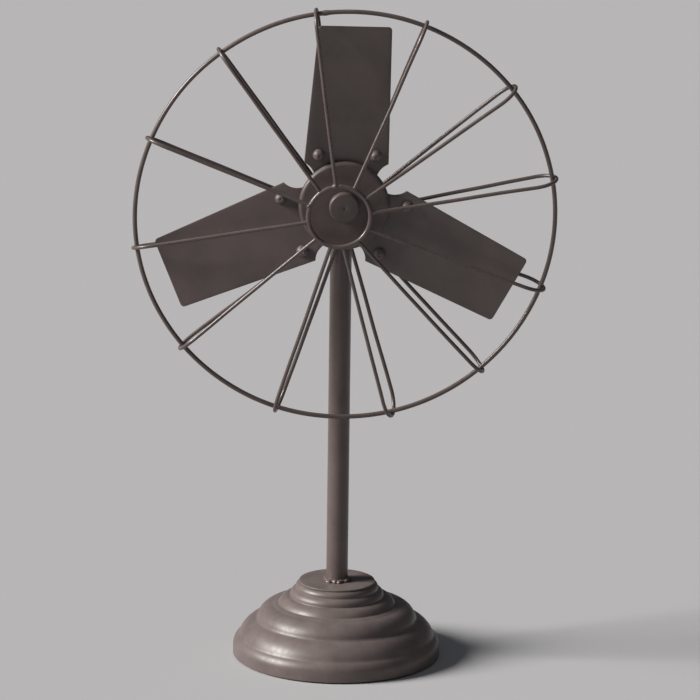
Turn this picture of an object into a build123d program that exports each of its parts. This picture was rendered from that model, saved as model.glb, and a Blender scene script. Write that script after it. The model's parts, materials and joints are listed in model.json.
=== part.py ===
from build123d import *
from math import atan2, cos, hypot, radians, sin, sqrt
import os

# Hand crank table fan in painted steel: a stepped round base, a tube post, a wire cage
# round three flat pitched blades, and a crank behind the head that turns them directly.
#
# Frame: millimetres, +Z up. The origin is the middle of the pad under the base. The fan
# looks along -Y, so the rotor axis runs along Y, and +X is the viewer's right.

# ---- Fits ----
FIT = 0.05               # radial clearance of a part slid on the axle, and of the running fits
PRESS_GAP = 0.02         # radial clearance drawn at a pressed bush
HOLE_GAP = 0.15          # radial clearance of a bolt in its hole
END_FLOAT = 0.1          # end play of the axle between its two bushes
WELD_GAP = 0.05          # distance between two wires that are welded where they touch

# ---- Base ----
TOP_DISC_RADIUS = 29.8   # flat disc that the post stands on
TOP_DISC_THICKNESS = 1.5
DISC_OVERHANG = 0.3      # the disc stands proud of the shell's first bead
BASE_WALL = 1.5          # sheet thickness of the spun shell
RIM_HEIGHT = 7.5         # upright rim at the foot of the shell
RIM_LIP = 6.0            # width of the lip turned in under the rim
SHADOW_GAP = 1.0         # height of the lip above the table
# Turned beads from the top disc down to the rim: width, drop and bulge of each.
BASE_BEADS = (
    (3.1, 5.0, 1.1),
    (4.2, 6.0, 1.4),
    (9.2, 5.9, 1.7),
    (4.5, 1.3, 0.2),
    (12.4, 11.8, 3.0),
    (13.9, 13.0, 2.6),
    (4.5, 9.2, 1.4),
)
PLATE_THICKNESS = 1.5    # bottom plate held by the turned lip
PLATE_GAP = 0.3
PAD_MARGIN = 1.0         # the pad stops short of the lip
WEIGHT_RADIUS = 54.0     # iron weight that keeps the fan from tipping
WEIGHT_HEIGHT = 17.0
WEIGHT_CHAMFER = 3.0
WEIGHT_SCREW_RADIUS = 2.5
WEIGHT_SCREW_LENGTH = 12.0
WEIGHT_SCREW_HEAD_RADIUS = 4.5
WEIGHT_SCREW_HEAD_HEIGHT = 1.8
WEIGHT_SCREW_CIRCLE = 38.0
WEIGHT_SCREWS = 3
WEIGHT_HOLE_SPARE = 1.0  # a screw hole goes this much deeper than its screw
DRIVER_SLOT = 1.0        # width of a screwdriver slot

# ---- Post and bearing barrel, cut from one tube ----
AXIS_HEIGHT = 377.0      # rotor axis above the table
TUBE_RADIUS = 8.5
TUBE_WALL = 1.5
BARREL_FRONT = 14.0      # the barrel reaches this far in front of the post's axis
BARREL_REAR = 16.0
POST_WELD_SIZE = 3.2
POST_WELD_FULLNESS = 0.6     # 0.5 is a straight fillet, more is a swelling one
BARREL_WELD_SIZE = 2.4

# ---- Axle and bushes ----
AXLE_RADIUS = 3.0
AXLE_CHAMFER = 0.5
AXLE_END_GAP = 0.2       # room left at the axle's ends in their blind holes
BUSH_LENGTH = 9.0
BUSH_FLANGE = 1.5
FLANGE_RADIUS = 8.0
WASHER_THICKNESS = 0.8
WASHER_RADIUS = 6.5
COLLAR_LENGTH = 12.0
COLLAR_RADIUS = 8.0
COLLAR_CHAMFER = 0.5
SET_SCREW_RADIUS = 1.5

# ---- Spider, blades and hub ----
BLADES = 3
FIRST_BLADE = 87.0       # direction of the top blade, seen from the front, from +X up
# Each blade was bolted on by eye: how far its direction wanders, in degrees, and its reach.
BLADE_WANDER = ((0, -3.0), (-4.7, 1.2), (4.7, 1.8))
PITCH = 6.0              # twist of each blade about its own length
SPIDER_RADIUS = 19.0
SPIDER_THICKNESS = 3.5
SPIDER_REAR = 2.5        # the spider's rear face behind the blades' middle plane
ARM_THICKNESS = 2.0
ARM_NECK = 9.0           # half width of a spider arm where it leaves the centre
ARM_HALF_WIDTH = 27.0
ARM_SHOULDER = 32.0      # distance from the axis where an arm has its full width
ARM_END = 49.0
ARM_CORNER = 3.0
BLADE_THICKNESS = 1.0
BLADE_ROOT = 23.0        # inner edge of the blade, under the hub cap
BLADE_SHOULDER_HALF = 33.4   # half the blade's greatest width, where the bite ends
BLADE_TIP = 146.5
BLADE_TIP_HALF = 29.0
BLADE_CORNER = 3.0
SCALLOP_RADIUS = 14.5    # round bite between the roots of two blades
SCALLOP_CIRCLE = 44.8
BOLT_ALONG = 42.6        # blade bolts, along and across the blade
BOLT_ACROSS = 22.5
BOLT_RADIUS = 2.0
BOLT_HEAD_RADIUS = 4.6
BOLT_HEAD_HEIGHT = 5.5
BOLT_DIMPLE = 0.9
NUT_FLATS = 7.0
NUT_THICKNESS = 2.6
HUB_CAP_RADIUS = 35.5
HUB_CAP_DEPTH = 4.2
HUB_CAP_WALL = 1.3
HUB_CAP_EDGE = 3.0
HUB_CAP_REACH = 8.0     # face of the hub cap in front of the blades' middle plane
SPACER_RADIUS = 7.0
NUB_RADIUS = 12.0
NUB_LENGTH = 6.0
NUB_EDGE = 1.6
NUB_DIMPLE = 1.3
NUB_THREAD_DEPTH = 4.2

# ---- Cage ----
OUTER_RING_RADIUS = 164.0
OUTER_RING_WIRE = 3.6
OUTER_RING_SIDE = 1.2    # the hand-welded cage sits a little off the rotor axis
OUTER_RING_DROP = 8.7
OUTER_RING_LEAD = 1.0    # the ring lies this far in front of the blades' middle plane
RING_JOINT_ANGLE = 96.0  # where the ends of the outer ring are butt-welded
RING_JOINT_RADIUS = 2.4
SMALL_RING_RADIUS = 24.35
SMALL_RING_WIRE = 3.4
FRONT_RING_LEAD = 22.5
FRONT_RING_SIDE = -4.5
FRONT_RING_DROP = 4.2
REAR_RING_SIDE = 1.5
SPOKE_WIRE = 3.0
SPOKE_GAP = 24.0         # distance between the two legs of a spoke at its bend
BEND_SHARE = 0.98        # how much of the half distance the bend's radius takes
FIRST_SPOKE = 98.0
SPOKE_SKEW = 0.4         # half the angle by which a bend leans round the ring
REAR_TWIST = 4.0         # the rear ends are turned this far round from the front ends
# Each spoke was bent and set by hand: how far its bend, its front end and the lean of its
# bend wander, in degrees.
SPOKE_WANDER = (
    (0.5, -1, -0.9),
    (0.2, -5, -0.8),
    (0, -3, 0),
    (2, -1, 0),
    (1, -2, 0),
    (2.8, -1, 0),
    (5.4, 0, 1.1),
    (3.6, 7, 0.7),
    (2, 7, 0),
    (1, 2, 0.65),
    (0, 0, 0.2),
    (-1.2, -1, -0.2),
)
RING_WELD_RADIUS = 2.8

# ---- Crank ----
CRANK_SPACER_LENGTH = 6.0
CRANK_SPACER_RADIUS = 5.5
CRANK_RADIUS = 50.0      # from the axle to the handle's pin
CRANK_WIDTH = 12.0
CRANK_THICKNESS = 3.0
CRANK_CHAMFER = 0.4
CRANK_NUT_FLATS = 10.0
CRANK_NUT_LENGTH = 5.0
CRANK_NUT_LEDGE = 0.5    # width of the ledge round the nut's dome, at the flats
CRANK_NUT_GRIP = 4.4     # how far the axle reaches into the nut
PIN_NECK_RADIUS = 2.5    # the pin's end that is riveted into the arm
PIN_RIVET_RADIUS = 4.0
PIN_RIVET_HEIGHT = 1.2
PIN_RADIUS = 3.0
PIN_HEAD_RADIUS = 4.6
PIN_HEAD_HEIGHT = 2.2
HANDLE_LENGTH = 30.0
HANDLE_END_RADIUS = 7.0
HANDLE_WAIST_RADIUS = 6.4
HANDLE_BELLY_RADIUS = 10.5
HANDLE_WAIST = 6.0       # the waist's distance from the arm end of the handle
HANDLE_CLEARANCE = 0.2   # end play of the handle on its pin

# ---- Places worked out from the sizes above ----
BASE_RADIUS = TOP_DISC_RADIUS - DISC_OVERHANG + sum(bead[0] for bead in BASE_BEADS)
SHELL_TOP = RIM_HEIGHT + sum(bead[1] for bead in BASE_BEADS)
BASE_TOP = SHELL_TOP + TOP_DISC_THICKNESS
PLATE_BOTTOM = SHADOW_GAP + BASE_WALL
PLATE_TOP = PLATE_BOTTOM + PLATE_THICKNESS
PLATE_RADIUS = BASE_RADIUS - BASE_WALL - PLATE_GAP
PAD_RADIUS = BASE_RADIUS - RIM_LIP - PAD_MARGIN
BARREL_BORE = TUBE_RADIUS - TUBE_WALL
AXLE_BORE = AXLE_RADIUS + FIT
WASHER_FRONT = -BARREL_FRONT - BUSH_FLANGE - END_FLOAT / 2 - WASHER_THICKNESS
SPIDER_BACK_Y = WASHER_FRONT - COLLAR_LENGTH
BLADE_Y = SPIDER_BACK_Y - SPIDER_REAR
SPIDER_FRONT_Y = SPIDER_BACK_Y - SPIDER_THICKNESS
CAP_FACE_Y = BLADE_Y - HUB_CAP_REACH
CAP_BACK_Y = CAP_FACE_Y + HUB_CAP_WALL
WASHER_REAR = BARREL_REAR + BUSH_FLANGE + END_FLOAT / 2 + WASHER_THICKNESS
CRANK_Y = WASHER_REAR + CRANK_SPACER_LENGTH
CRANK_BACK_Y = CRANK_Y + CRANK_THICKNESS
AXLE_FRONT_Y = CAP_FACE_Y - NUB_THREAD_DEPTH + AXLE_END_GAP
AXLE_REAR_Y = CRANK_BACK_Y + CRANK_NUT_GRIP
HANDLE_Y = CRANK_BACK_Y + WASHER_THICKNESS + HANDLE_CLEARANCE
PIN_END_Y = HANDLE_Y + HANDLE_LENGTH + HANDLE_CLEARANCE
OUTER_RING_Y = BLADE_Y - OUTER_RING_LEAD
FRONT_RING_Y = BLADE_Y - FRONT_RING_LEAD
REAR_RING_Y = -(TUBE_RADIUS + SMALL_RING_WIRE / 2 + WELD_GAP)
SPOKE_RADIUS = SPOKE_WIRE / 2
SPOKE_REACH = OUTER_RING_RADIUS + OUTER_RING_WIRE / 2 + WELD_GAP + SPOKE_RADIUS
# The rear ring hangs over the barrel, so its drop follows from the two radii.
REAR_RING_HANG = SMALL_RING_RADIUS - SMALL_RING_WIRE / 2 - WELD_GAP - TUBE_RADIUS
REAR_RING_DROP = sqrt(REAR_RING_HANG**2 - REAR_RING_SIDE**2)
FRONT_RING = (FRONT_RING_SIDE, FRONT_RING_Y, FRONT_RING_DROP)
REAR_RING = (REAR_RING_SIDE, REAR_RING_Y, REAR_RING_DROP)


def turned(*edges):
    """A solid of revolution about Z from a closed outline in the XZ half plane."""
    return revolve(make_face(Wire(list(edges))), Axis.Z)


def along_axis(y_start, length, radius):
    """A cylinder along the rotor axis that starts at y_start and runs backwards."""
    return Pos(0, y_start + length / 2, AXIS_HEIGHT) * Rot(90, 0, 0) * Cylinder(radius, length)


def ring_along_axis(y_start, length, radius, bore):
    return along_axis(y_start, length, radius) - along_axis(y_start, length, bore)


def wire_ring(side, y, drop, radius, wire):
    """A ring of round wire that faces along Y, its middle to one side of and below the axis."""
    return Pos(side, y, AXIS_HEIGHT - drop) * Rot(90, 0, 0) * Torus(radius, wire / 2)


def ring_point(side, y, drop, radius, angle):
    """A point on such a ring; the angle runs from +X up, seen from the front."""
    return Vector(
        side + radius * cos(radians(angle)),
        y,
        AXIS_HEIGHT - drop + radius * sin(radians(angle)),
    )


# ---- Base ----
def bead_outline(inset):
    """The beads as arcs from the rim up, moved inwards by inset, and the two end points."""
    radius = TOP_DISC_RADIUS - DISC_OVERHANG
    height = SHELL_TOP
    points = [(radius, height)]
    for width, drop, _ in BASE_BEADS:
        radius += width
        height -= drop
        points.append((radius, height))
    lean = inset / sqrt(2)
    moved = [(r - lean, z - lean) for r, z in points]
    moved[-1] = (points[-1][0] - inset, points[-1][1])
    moved[0] = (points[0][0], points[0][1] - inset)
    arcs = []
    for (r0, z0), (r1, z1), (_, _, bulge) in zip(moved, moved[1:], BASE_BEADS):
        span = hypot(r1 - r0, z1 - z0)
        middle = (
            (r0 + r1) / 2 + bulge * (z0 - z1) / span,
            (z0 + z1) / 2 + bulge * (r1 - r0) / span,
        )
        arcs.append(ThreePointArc((r0, 0, z0), (middle[0], 0, middle[1]), (r1, 0, z1)))
    return arcs, moved[0], moved[-1]


def base_shell():
    """Spun steel dome with turned beads, an upright rim and a lip turned in below."""
    outer, outer_top, outer_foot = bead_outline(0)
    inner, inner_top, inner_foot = bead_outline(BASE_WALL)
    lip_edge = BASE_RADIUS - RIM_LIP
    foot = Polyline(
        (outer_foot[0], 0, outer_foot[1]),
        (outer_foot[0], 0, SHADOW_GAP + BASE_WALL / 2),
        (outer_foot[0] - BASE_WALL / 2, 0, SHADOW_GAP),
        (lip_edge, 0, SHADOW_GAP),
        (lip_edge, 0, PLATE_BOTTOM),
        (inner_foot[0], 0, PLATE_BOTTOM),
        (inner_foot[0], 0, inner_foot[1]),
    )
    top = Polyline(
        (inner_top[0], 0, inner_top[1]),
        (TUBE_RADIUS, 0, inner_top[1]),
        (TUBE_RADIUS, 0, outer_top[1]),
        (outer_top[0], 0, outer_top[1]),
    )
    return turned(*outer, *foot.edges(), *inner, *top.edges())


def base_top_disc():
    disc = Cylinder(TOP_DISC_RADIUS, TOP_DISC_THICKNESS)
    disc = chamfer(disc.edges().group_by(Axis.Z)[-1], TOP_DISC_THICKNESS / 4)
    return Pos(0, 0, SHELL_TOP + TOP_DISC_THICKNESS / 2) * disc


def screw_places():
    return PolarLocations(WEIGHT_SCREW_CIRCLE, WEIGHT_SCREWS, 90)


def base_bottom_plate():
    plate = Pos(0, 0, PLATE_BOTTOM + PLATE_THICKNESS / 2) * Cylinder(PLATE_RADIUS, PLATE_THICKNESS)
    hole = Pos(0, 0, PLATE_TOP) * Cylinder(WEIGHT_SCREW_RADIUS + HOLE_GAP, 2 * PLATE_THICKNESS)
    return plate - [place * hole for place in screw_places()]


def base_pad():
    """Rubber pad under the plate, with a hole round each screw head."""
    pad = Pos(0, 0, PLATE_BOTTOM / 2) * Cylinder(PAD_RADIUS, PLATE_BOTTOM)
    hole = Pos(0, 0, PLATE_BOTTOM / 2) * Cylinder(WEIGHT_SCREW_HEAD_RADIUS + PAD_MARGIN, 2 * PLATE_BOTTOM)
    return pad - [place * hole for place in screw_places()]


def base_weight():
    """Cast iron disc on the plate, tapped for the screws that come up through the plate."""
    disc = Cylinder(WEIGHT_RADIUS, WEIGHT_HEIGHT)
    disc = chamfer(disc.edges().group_by(Axis.Z)[-1], WEIGHT_CHAMFER)
    disc = Pos(0, 0, PLATE_TOP + WEIGHT_HEIGHT / 2) * disc
    depth = WEIGHT_SCREW_LENGTH - PLATE_THICKNESS + WEIGHT_HOLE_SPARE
    hole = Pos(0, 0, PLATE_TOP + depth / 2) * Cylinder(WEIGHT_SCREW_RADIUS + PRESS_GAP, depth)
    return disc - [place * hole for place in screw_places()]


def weight_screws():
    shank = Pos(0, 0, PLATE_BOTTOM + WEIGHT_SCREW_LENGTH / 2)
    shank *= Cylinder(WEIGHT_SCREW_RADIUS, WEIGHT_SCREW_LENGTH)
    head_middle = PLATE_BOTTOM - WEIGHT_SCREW_HEAD_HEIGHT / 2
    head = Pos(0, 0, head_middle) * Cylinder(WEIGHT_SCREW_HEAD_RADIUS, WEIGHT_SCREW_HEAD_HEIGHT)
    slot = Pos(0, 0, head_middle - WEIGHT_SCREW_HEAD_HEIGHT / 2)
    slot *= Box(3 * WEIGHT_SCREW_HEAD_RADIUS, DRIVER_SLOT, WEIGHT_SCREW_HEAD_HEIGHT)
    screw = shank + head - slot
    return [place * screw for place in screw_places()]


# ---- Post and barrel ----
def upright(radius):
    """A cylinder about the post's axis from the top disc up to the rotor axis."""
    height = AXIS_HEIGHT - BASE_TOP
    return Pos(0, 0, BASE_TOP + height / 2) * Cylinder(radius, height)


def barrel_body(radius):
    return along_axis(-BARREL_FRONT, BARREL_FRONT + BARREL_REAR, radius)


def post_tube():
    """The post is coped at its top to sit under the barrel."""
    return upright(TUBE_RADIUS) - upright(BARREL_BORE) - barrel_body(TUBE_RADIUS)


def bearing_barrel():
    return barrel_body(TUBE_RADIUS) - barrel_body(BARREL_BORE)


def post_weld():
    """Fillet of weld metal round the foot of the post."""
    bulge = POST_WELD_SIZE * POST_WELD_FULLNESS
    corner = (TUBE_RADIUS, 0, BASE_TOP)
    out = (TUBE_RADIUS + POST_WELD_SIZE, 0, BASE_TOP)
    up = (TUBE_RADIUS, 0, BASE_TOP + POST_WELD_SIZE)
    middle = (TUBE_RADIUS + bulge, 0, BASE_TOP + bulge)
    return turned(Line(corner, out), ThreePointArc(out, middle, up), Line(up, corner))


def barrel_weld():
    """Weld metal in the saddle between the post and the barrel."""
    near_post = upright(TUBE_RADIUS + BARREL_WELD_SIZE)
    near_barrel = along_axis(
        -BARREL_FRONT, BARREL_FRONT + BARREL_REAR, TUBE_RADIUS + BARREL_WELD_SIZE
    )
    return (near_post & near_barrel) - upright(TUBE_RADIUS) - barrel_body(TUBE_RADIUS)


def bush(y_flange, direction):
    """Flanged bush pressed into one end of the barrel; direction is +1 into the barrel."""
    sleeve_start = min(y_flange, y_flange + direction * BUSH_LENGTH)
    flange_start = min(y_flange, y_flange - direction * BUSH_FLANGE)
    sleeve = along_axis(sleeve_start, BUSH_LENGTH, BARREL_BORE - PRESS_GAP)
    flange = along_axis(flange_start, BUSH_FLANGE, FLANGE_RADIUS)
    whole = BUSH_LENGTH + BUSH_FLANGE
    return sleeve + flange - along_axis(min(sleeve_start, flange_start), whole, AXLE_BORE)


# ---- Rotor ----
def blade_plane(number):
    """Plane of one blade: X runs out along it, Y across it, and Z towards the viewer."""
    wander, reach = BLADE_WANDER[number % len(BLADE_WANDER)]
    turn = radians(FIRST_BLADE + number * 360 / BLADES + wander)
    twist = radians(PITCH)
    return Plane(
        origin=(reach * cos(turn), BLADE_Y, AXIS_HEIGHT + reach * sin(turn)),
        x_dir=(cos(turn), 0, sin(turn)),
        z_dir=(sin(turn) * sin(twist), -cos(twist), -cos(turn) * sin(twist)),
    )


def bolt_places():
    return [Pos(BOLT_ALONG, side * BOLT_ACROSS) for side in (-1, 1)]


def root_side(side):
    """One side of the blade's root: a round bite from the root edge out to the shoulder."""
    half_step = radians(180 / BLADES)
    middle = (SCALLOP_CIRCLE * cos(half_step), SCALLOP_CIRCLE * sin(half_step))
    root_rise = sqrt(SCALLOP_RADIUS**2 - (BLADE_ROOT - middle[0]) ** 2)
    shoulder_run = sqrt(SCALLOP_RADIUS**2 - (middle[1] - BLADE_SHOULDER_HALF) ** 2)
    root = (BLADE_ROOT, side * (middle[1] - root_rise))
    shoulder = (middle[0] + shoulder_run, side * BLADE_SHOULDER_HALF)
    across = atan2(BLADE_SHOULDER_HALF - middle[1], shoulder_run)
    down = atan2(-root_rise, BLADE_ROOT - middle[0])
    bisector = (across + down) / 2
    deepest = (
        middle[0] + SCALLOP_RADIUS * cos(bisector),
        side * (middle[1] + SCALLOP_RADIUS * sin(bisector)),
    )
    return root, deepest, shoulder


def blade(number):
    """Flat blade: a straight taper, with a round bite at each side of its root."""
    low_root, low_bite, low_shoulder = root_side(-1)
    high_root, high_bite, high_shoulder = root_side(1)
    sides = Polyline(
        low_shoulder, (BLADE_TIP, -BLADE_TIP_HALF), (BLADE_TIP, BLADE_TIP_HALF), high_shoulder
    )
    outline = Wire([
        ThreePointArc(low_root, low_bite, low_shoulder),
        *sides.edges(),
        ThreePointArc(high_shoulder, high_bite, high_root),
        Line(high_root, low_root),
    ])
    sheet = make_face(outline)
    sheet = fillet(sheet.vertices().group_by(Axis.X)[-1], BLADE_CORNER)
    sheet -= [place * Circle(BOLT_RADIUS + HOLE_GAP) for place in bolt_places()]
    return blade_plane(number) * extrude(sheet, BLADE_THICKNESS / 2, both=True)


def spider():
    """Centre plate with three twisted arms that carry the blades on their front faces."""
    neck = SPIDER_RADIUS / 2
    outline = Polyline(
        (neck, -ARM_NECK),
        (ARM_SHOULDER, -ARM_HALF_WIDTH),
        (ARM_END, -ARM_HALF_WIDTH),
        (ARM_END, ARM_HALF_WIDTH),
        (ARM_SHOULDER, ARM_HALF_WIDTH),
        (neck, ARM_NECK),
        close=True,
    )
    sheet = make_face(outline)
    sheet = fillet(sheet.vertices().group_by(Axis.X)[-1], ARM_CORNER)
    sheet -= [place * Circle(BOLT_RADIUS + HOLE_GAP) for place in bolt_places()]
    arm = Pos(0, 0, -BLADE_THICKNESS / 2) * extrude(sheet, -ARM_THICKNESS)
    body = along_axis(SPIDER_FRONT_Y, SPIDER_THICKNESS, SPIDER_RADIUS)
    for number in range(BLADES):
        body += blade_plane(number) * arm
    return body - along_axis(SPIDER_FRONT_Y - NUB_LENGTH, 2 * SPIDER_RADIUS, AXLE_BORE)


def domed_head(radius, height, dimple):
    """Round head on the XY plane, with a small dimple left by the header in its middle."""
    ball = (radius**2 + height**2) / (2 * height)
    head = Pos(0, 0, height - ball) * Sphere(ball) & Pos(0, 0, height / 2) * Box(
        4 * radius, 4 * radius, height
    )
    return head - Pos(0, 0, height + dimple / 2) * Sphere(dimple)


def blade_bolts():
    grip = BLADE_THICKNESS + ARM_THICKNESS + NUT_THICKNESS
    shank = Pos(0, 0, BLADE_THICKNESS / 2 - grip / 2) * Cylinder(BOLT_RADIUS, grip)
    head = Pos(0, 0, BLADE_THICKNESS / 2) * domed_head(
        BOLT_HEAD_RADIUS, BOLT_HEAD_HEIGHT, BOLT_DIMPLE
    )
    bolt = shank + head
    return [
        blade_plane(number) * place * bolt
        for number in range(BLADES)
        for place in bolt_places()
    ]


def hexagon_nut(flats, thickness):
    """Hexagon prism on the XY plane, with its corners turned down on the upper face."""
    prism = extrude(RegularPolygon(flats / 2, 6, major_radius=False), thickness)
    turned_down = Pos(0, 0, thickness / 2) * Cylinder(flats / sqrt(3), thickness)
    rim = turned_down.edges().group_by(Axis.Z)[-1]
    return prism & chamfer(rim, flats * (1 / sqrt(3) - 1 / 2))


def blade_nuts():
    nut = hexagon_nut(NUT_FLATS, NUT_THICKNESS)
    nut -= Pos(0, 0, NUT_THICKNESS / 2) * Cylinder(BOLT_RADIUS + PRESS_GAP, 2 * NUT_THICKNESS)
    nut = Pos(0, 0, -BLADE_THICKNESS / 2 - ARM_THICKNESS) * Rot(180, 0, 0) * nut
    return [
        blade_plane(number) * place * nut
        for number in range(BLADES)
        for place in bolt_places()
    ]


def axle():
    rod = along_axis(AXLE_FRONT_Y, AXLE_REAR_Y - AXLE_FRONT_Y, AXLE_RADIUS)
    return chamfer(rod.edges().filter_by(GeomType.CIRCLE), AXLE_CHAMFER)


def hub_cap():
    """Pressed cup in front of the blade roots, with a rounded edge and a short skirt."""
    cup = along_axis(CAP_FACE_Y, HUB_CAP_DEPTH, HUB_CAP_RADIUS)
    cup = fillet(cup.edges().group_by(Axis.Y)[0], HUB_CAP_EDGE)
    hollow_depth = HUB_CAP_DEPTH - HUB_CAP_WALL
    hollow = along_axis(CAP_BACK_Y, hollow_depth, HUB_CAP_RADIUS - HUB_CAP_WALL)
    hollow = fillet(hollow.edges().group_by(Axis.Y)[0], HUB_CAP_EDGE - HUB_CAP_WALL)
    return cup - hollow - along_axis(CAP_FACE_Y - HUB_CAP_WALL, 3 * HUB_CAP_WALL, AXLE_BORE)


def hub_spacer():
    return ring_along_axis(CAP_BACK_Y, SPIDER_FRONT_Y - CAP_BACK_Y, SPACER_RADIUS, AXLE_BORE)


def hub_nub():
    """Round cap nut that clamps the hub cap, with a centre mark on its face."""
    button = along_axis(CAP_FACE_Y - NUB_LENGTH, NUB_LENGTH, NUB_RADIUS)
    button = fillet(button.edges().group_by(Axis.Y)[0], NUB_EDGE)
    button -= along_axis(CAP_FACE_Y - NUB_THREAD_DEPTH, NUB_THREAD_DEPTH, AXLE_BORE)
    mark = Pos(0, CAP_FACE_Y - NUB_LENGTH - NUB_DIMPLE / 2, AXIS_HEIGHT) * Sphere(NUB_DIMPLE)
    return button - mark


def screw_rod(radius, start, end):
    """A cylinder square to the axle at the middle of the collar, towards +X."""
    middle_y = WASHER_FRONT - COLLAR_LENGTH / 2
    rod = Pos((start + end) / 2, middle_y, AXIS_HEIGHT) * Rot(0, 90, 0)
    return rod * Cylinder(radius, end - start)


def shaft_collar():
    collar = along_axis(WASHER_FRONT - COLLAR_LENGTH, COLLAR_LENGTH, COLLAR_RADIUS)
    collar = chamfer(collar.edges().filter_by(GeomType.CIRCLE), COLLAR_CHAMFER)
    collar -= along_axis(WASHER_FRONT - COLLAR_LENGTH, COLLAR_LENGTH, AXLE_BORE)
    return collar - screw_rod(SET_SCREW_RADIUS + PRESS_GAP, 0, 2 * COLLAR_RADIUS)


def set_screw():
    """Grub screw, a little below the collar's surface, with a slot in its end."""
    outer_end = COLLAR_RADIUS - COLLAR_CHAMFER
    slot = Pos(outer_end, WASHER_FRONT - COLLAR_LENGTH / 2, AXIS_HEIGHT)
    slot *= Box(DRIVER_SLOT, DRIVER_SLOT / 2, 4 * SET_SCREW_RADIUS)
    return screw_rod(SET_SCREW_RADIUS, AXLE_BORE, outer_end) - slot


def thrust_washer(y_start):
    return ring_along_axis(y_start, WASHER_THICKNESS, WASHER_RADIUS, AXLE_BORE)


# ---- Cage ----
def outer_ring():
    """Ring of wire with the lump of its butt weld."""
    place = (OUTER_RING_SIDE, OUTER_RING_Y, OUTER_RING_DROP, OUTER_RING_RADIUS)
    turn = radians(RING_JOINT_ANGLE)
    across = Plane(origin=ring_point(*place, RING_JOINT_ANGLE), z_dir=(-sin(turn), 0, cos(turn)))
    lump = Cylinder(RING_JOINT_RADIUS, 2 * RING_JOINT_RADIUS)
    lump = fillet(lump.edges().filter_by(GeomType.CIRCLE), RING_JOINT_RADIUS / 2)
    return wire_ring(*place, OUTER_RING_WIRE) + across * lump


def small_ring(place):
    return wire_ring(*place, SMALL_RING_RADIUS, SMALL_RING_WIRE)


def spoke(number):
    """Hairpin of wire: from the front ring out, round the outer ring, and to the rear ring."""
    bend_wander, front_wander, lean_wander = SPOKE_WANDER[number]
    even_angle = FIRST_SPOKE - number * 360 / len(SPOKE_WANDER)
    front_angle = even_angle + front_wander
    rear_angle = front_angle + REAR_TWIST
    corners = [
        ring_point(
            OUTER_RING_SIDE,
            OUTER_RING_Y + side * SPOKE_GAP / 2,
            OUTER_RING_DROP,
            SPOKE_REACH,
            even_angle + bend_wander + side * (SPOKE_SKEW + lean_wander),
        )
        for side in (-1, 1)
    ]
    path = FilletPolyline(
        ring_point(*FRONT_RING, SMALL_RING_RADIUS, front_angle),
        *corners,
        ring_point(*REAR_RING, SMALL_RING_RADIUS, rear_angle),
        radius=BEND_SHARE * SPOKE_GAP / 2,
    )
    start = Plane(origin=path @ 0, z_dir=path % 0)
    wire = sweep(start * Circle(SPOKE_RADIUS), path=path)
    return wire - small_ring(FRONT_RING) - small_ring(REAR_RING)


def cage_welds(spokes):
    """Weld metal where the rear ring touches the top of the barrel and the post's front."""
    to_barrel = Vector(-REAR_RING_SIDE, 0, REAR_RING_DROP).normalized()
    barrel_touch = Vector(0, REAR_RING_Y, AXIS_HEIGHT) + to_barrel * TUBE_RADIUS
    fall = sqrt(SMALL_RING_RADIUS**2 - REAR_RING_SIDE**2)
    post_touch = Vector(0, -TUBE_RADIUS, AXIS_HEIGHT - REAR_RING_DROP - fall)
    welds = []
    # The ball's seam is turned away from the cuts.
    for touch in (barrel_touch, post_touch):
        weld = Pos(*touch) * Rot(0, 0, 90) * Sphere(RING_WELD_RADIUS)
        weld = weld - small_ring(REAR_RING) - barrel_body(TUBE_RADIUS + WELD_GAP)
        weld -= upright(TUBE_RADIUS + WELD_GAP)
        for leg in spokes:
            weld -= leg
        welds += weld.solids()
    return welds


# ---- Crank ----
def crank_spacer():
    return ring_along_axis(WASHER_REAR, CRANK_SPACER_LENGTH, CRANK_SPACER_RADIUS, AXLE_BORE)


def crank_arm():
    """Flat steel bar with round ends that points straight up at rest."""
    bar = SlotCenterToCenter(CRANK_RADIUS, CRANK_WIDTH) - Pos(-CRANK_RADIUS / 2, 0) * Circle(AXLE_BORE)
    bar -= Pos(CRANK_RADIUS / 2, 0) * Circle(PIN_NECK_RADIUS + PRESS_GAP)
    face = Plane(
        origin=(0, CRANK_BACK_Y, AXIS_HEIGHT + CRANK_RADIUS / 2), x_dir=(0, 0, 1), z_dir=(0, -1, 0)
    )
    solid = face * extrude(bar, CRANK_THICKNESS)
    return chamfer(solid.edges().group_by(Axis.Y)[-1], CRANK_CHAMFER)


def crank_nut():
    """Acorn nut on the rear end of the axle."""
    nut = hexagon_nut(CRANK_NUT_FLATS, CRANK_NUT_LENGTH)
    dome = Sphere(
        CRANK_NUT_FLATS / 2 - CRANK_NUT_LEDGE,
        arc_size1=0,
        align=(Align.CENTER, Align.CENTER, Align.MIN),
    )
    nut += Pos(0, 0, CRANK_NUT_LENGTH) * dome
    nut = Pos(0, CRANK_BACK_Y, AXIS_HEIGHT) * Rot(-90, 0, 0) * nut
    return nut - along_axis(CRANK_BACK_Y, CRANK_NUT_GRIP + AXLE_END_GAP, AXLE_BORE)


def at_pin():
    return Pos(0, 0, CRANK_RADIUS)


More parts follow.
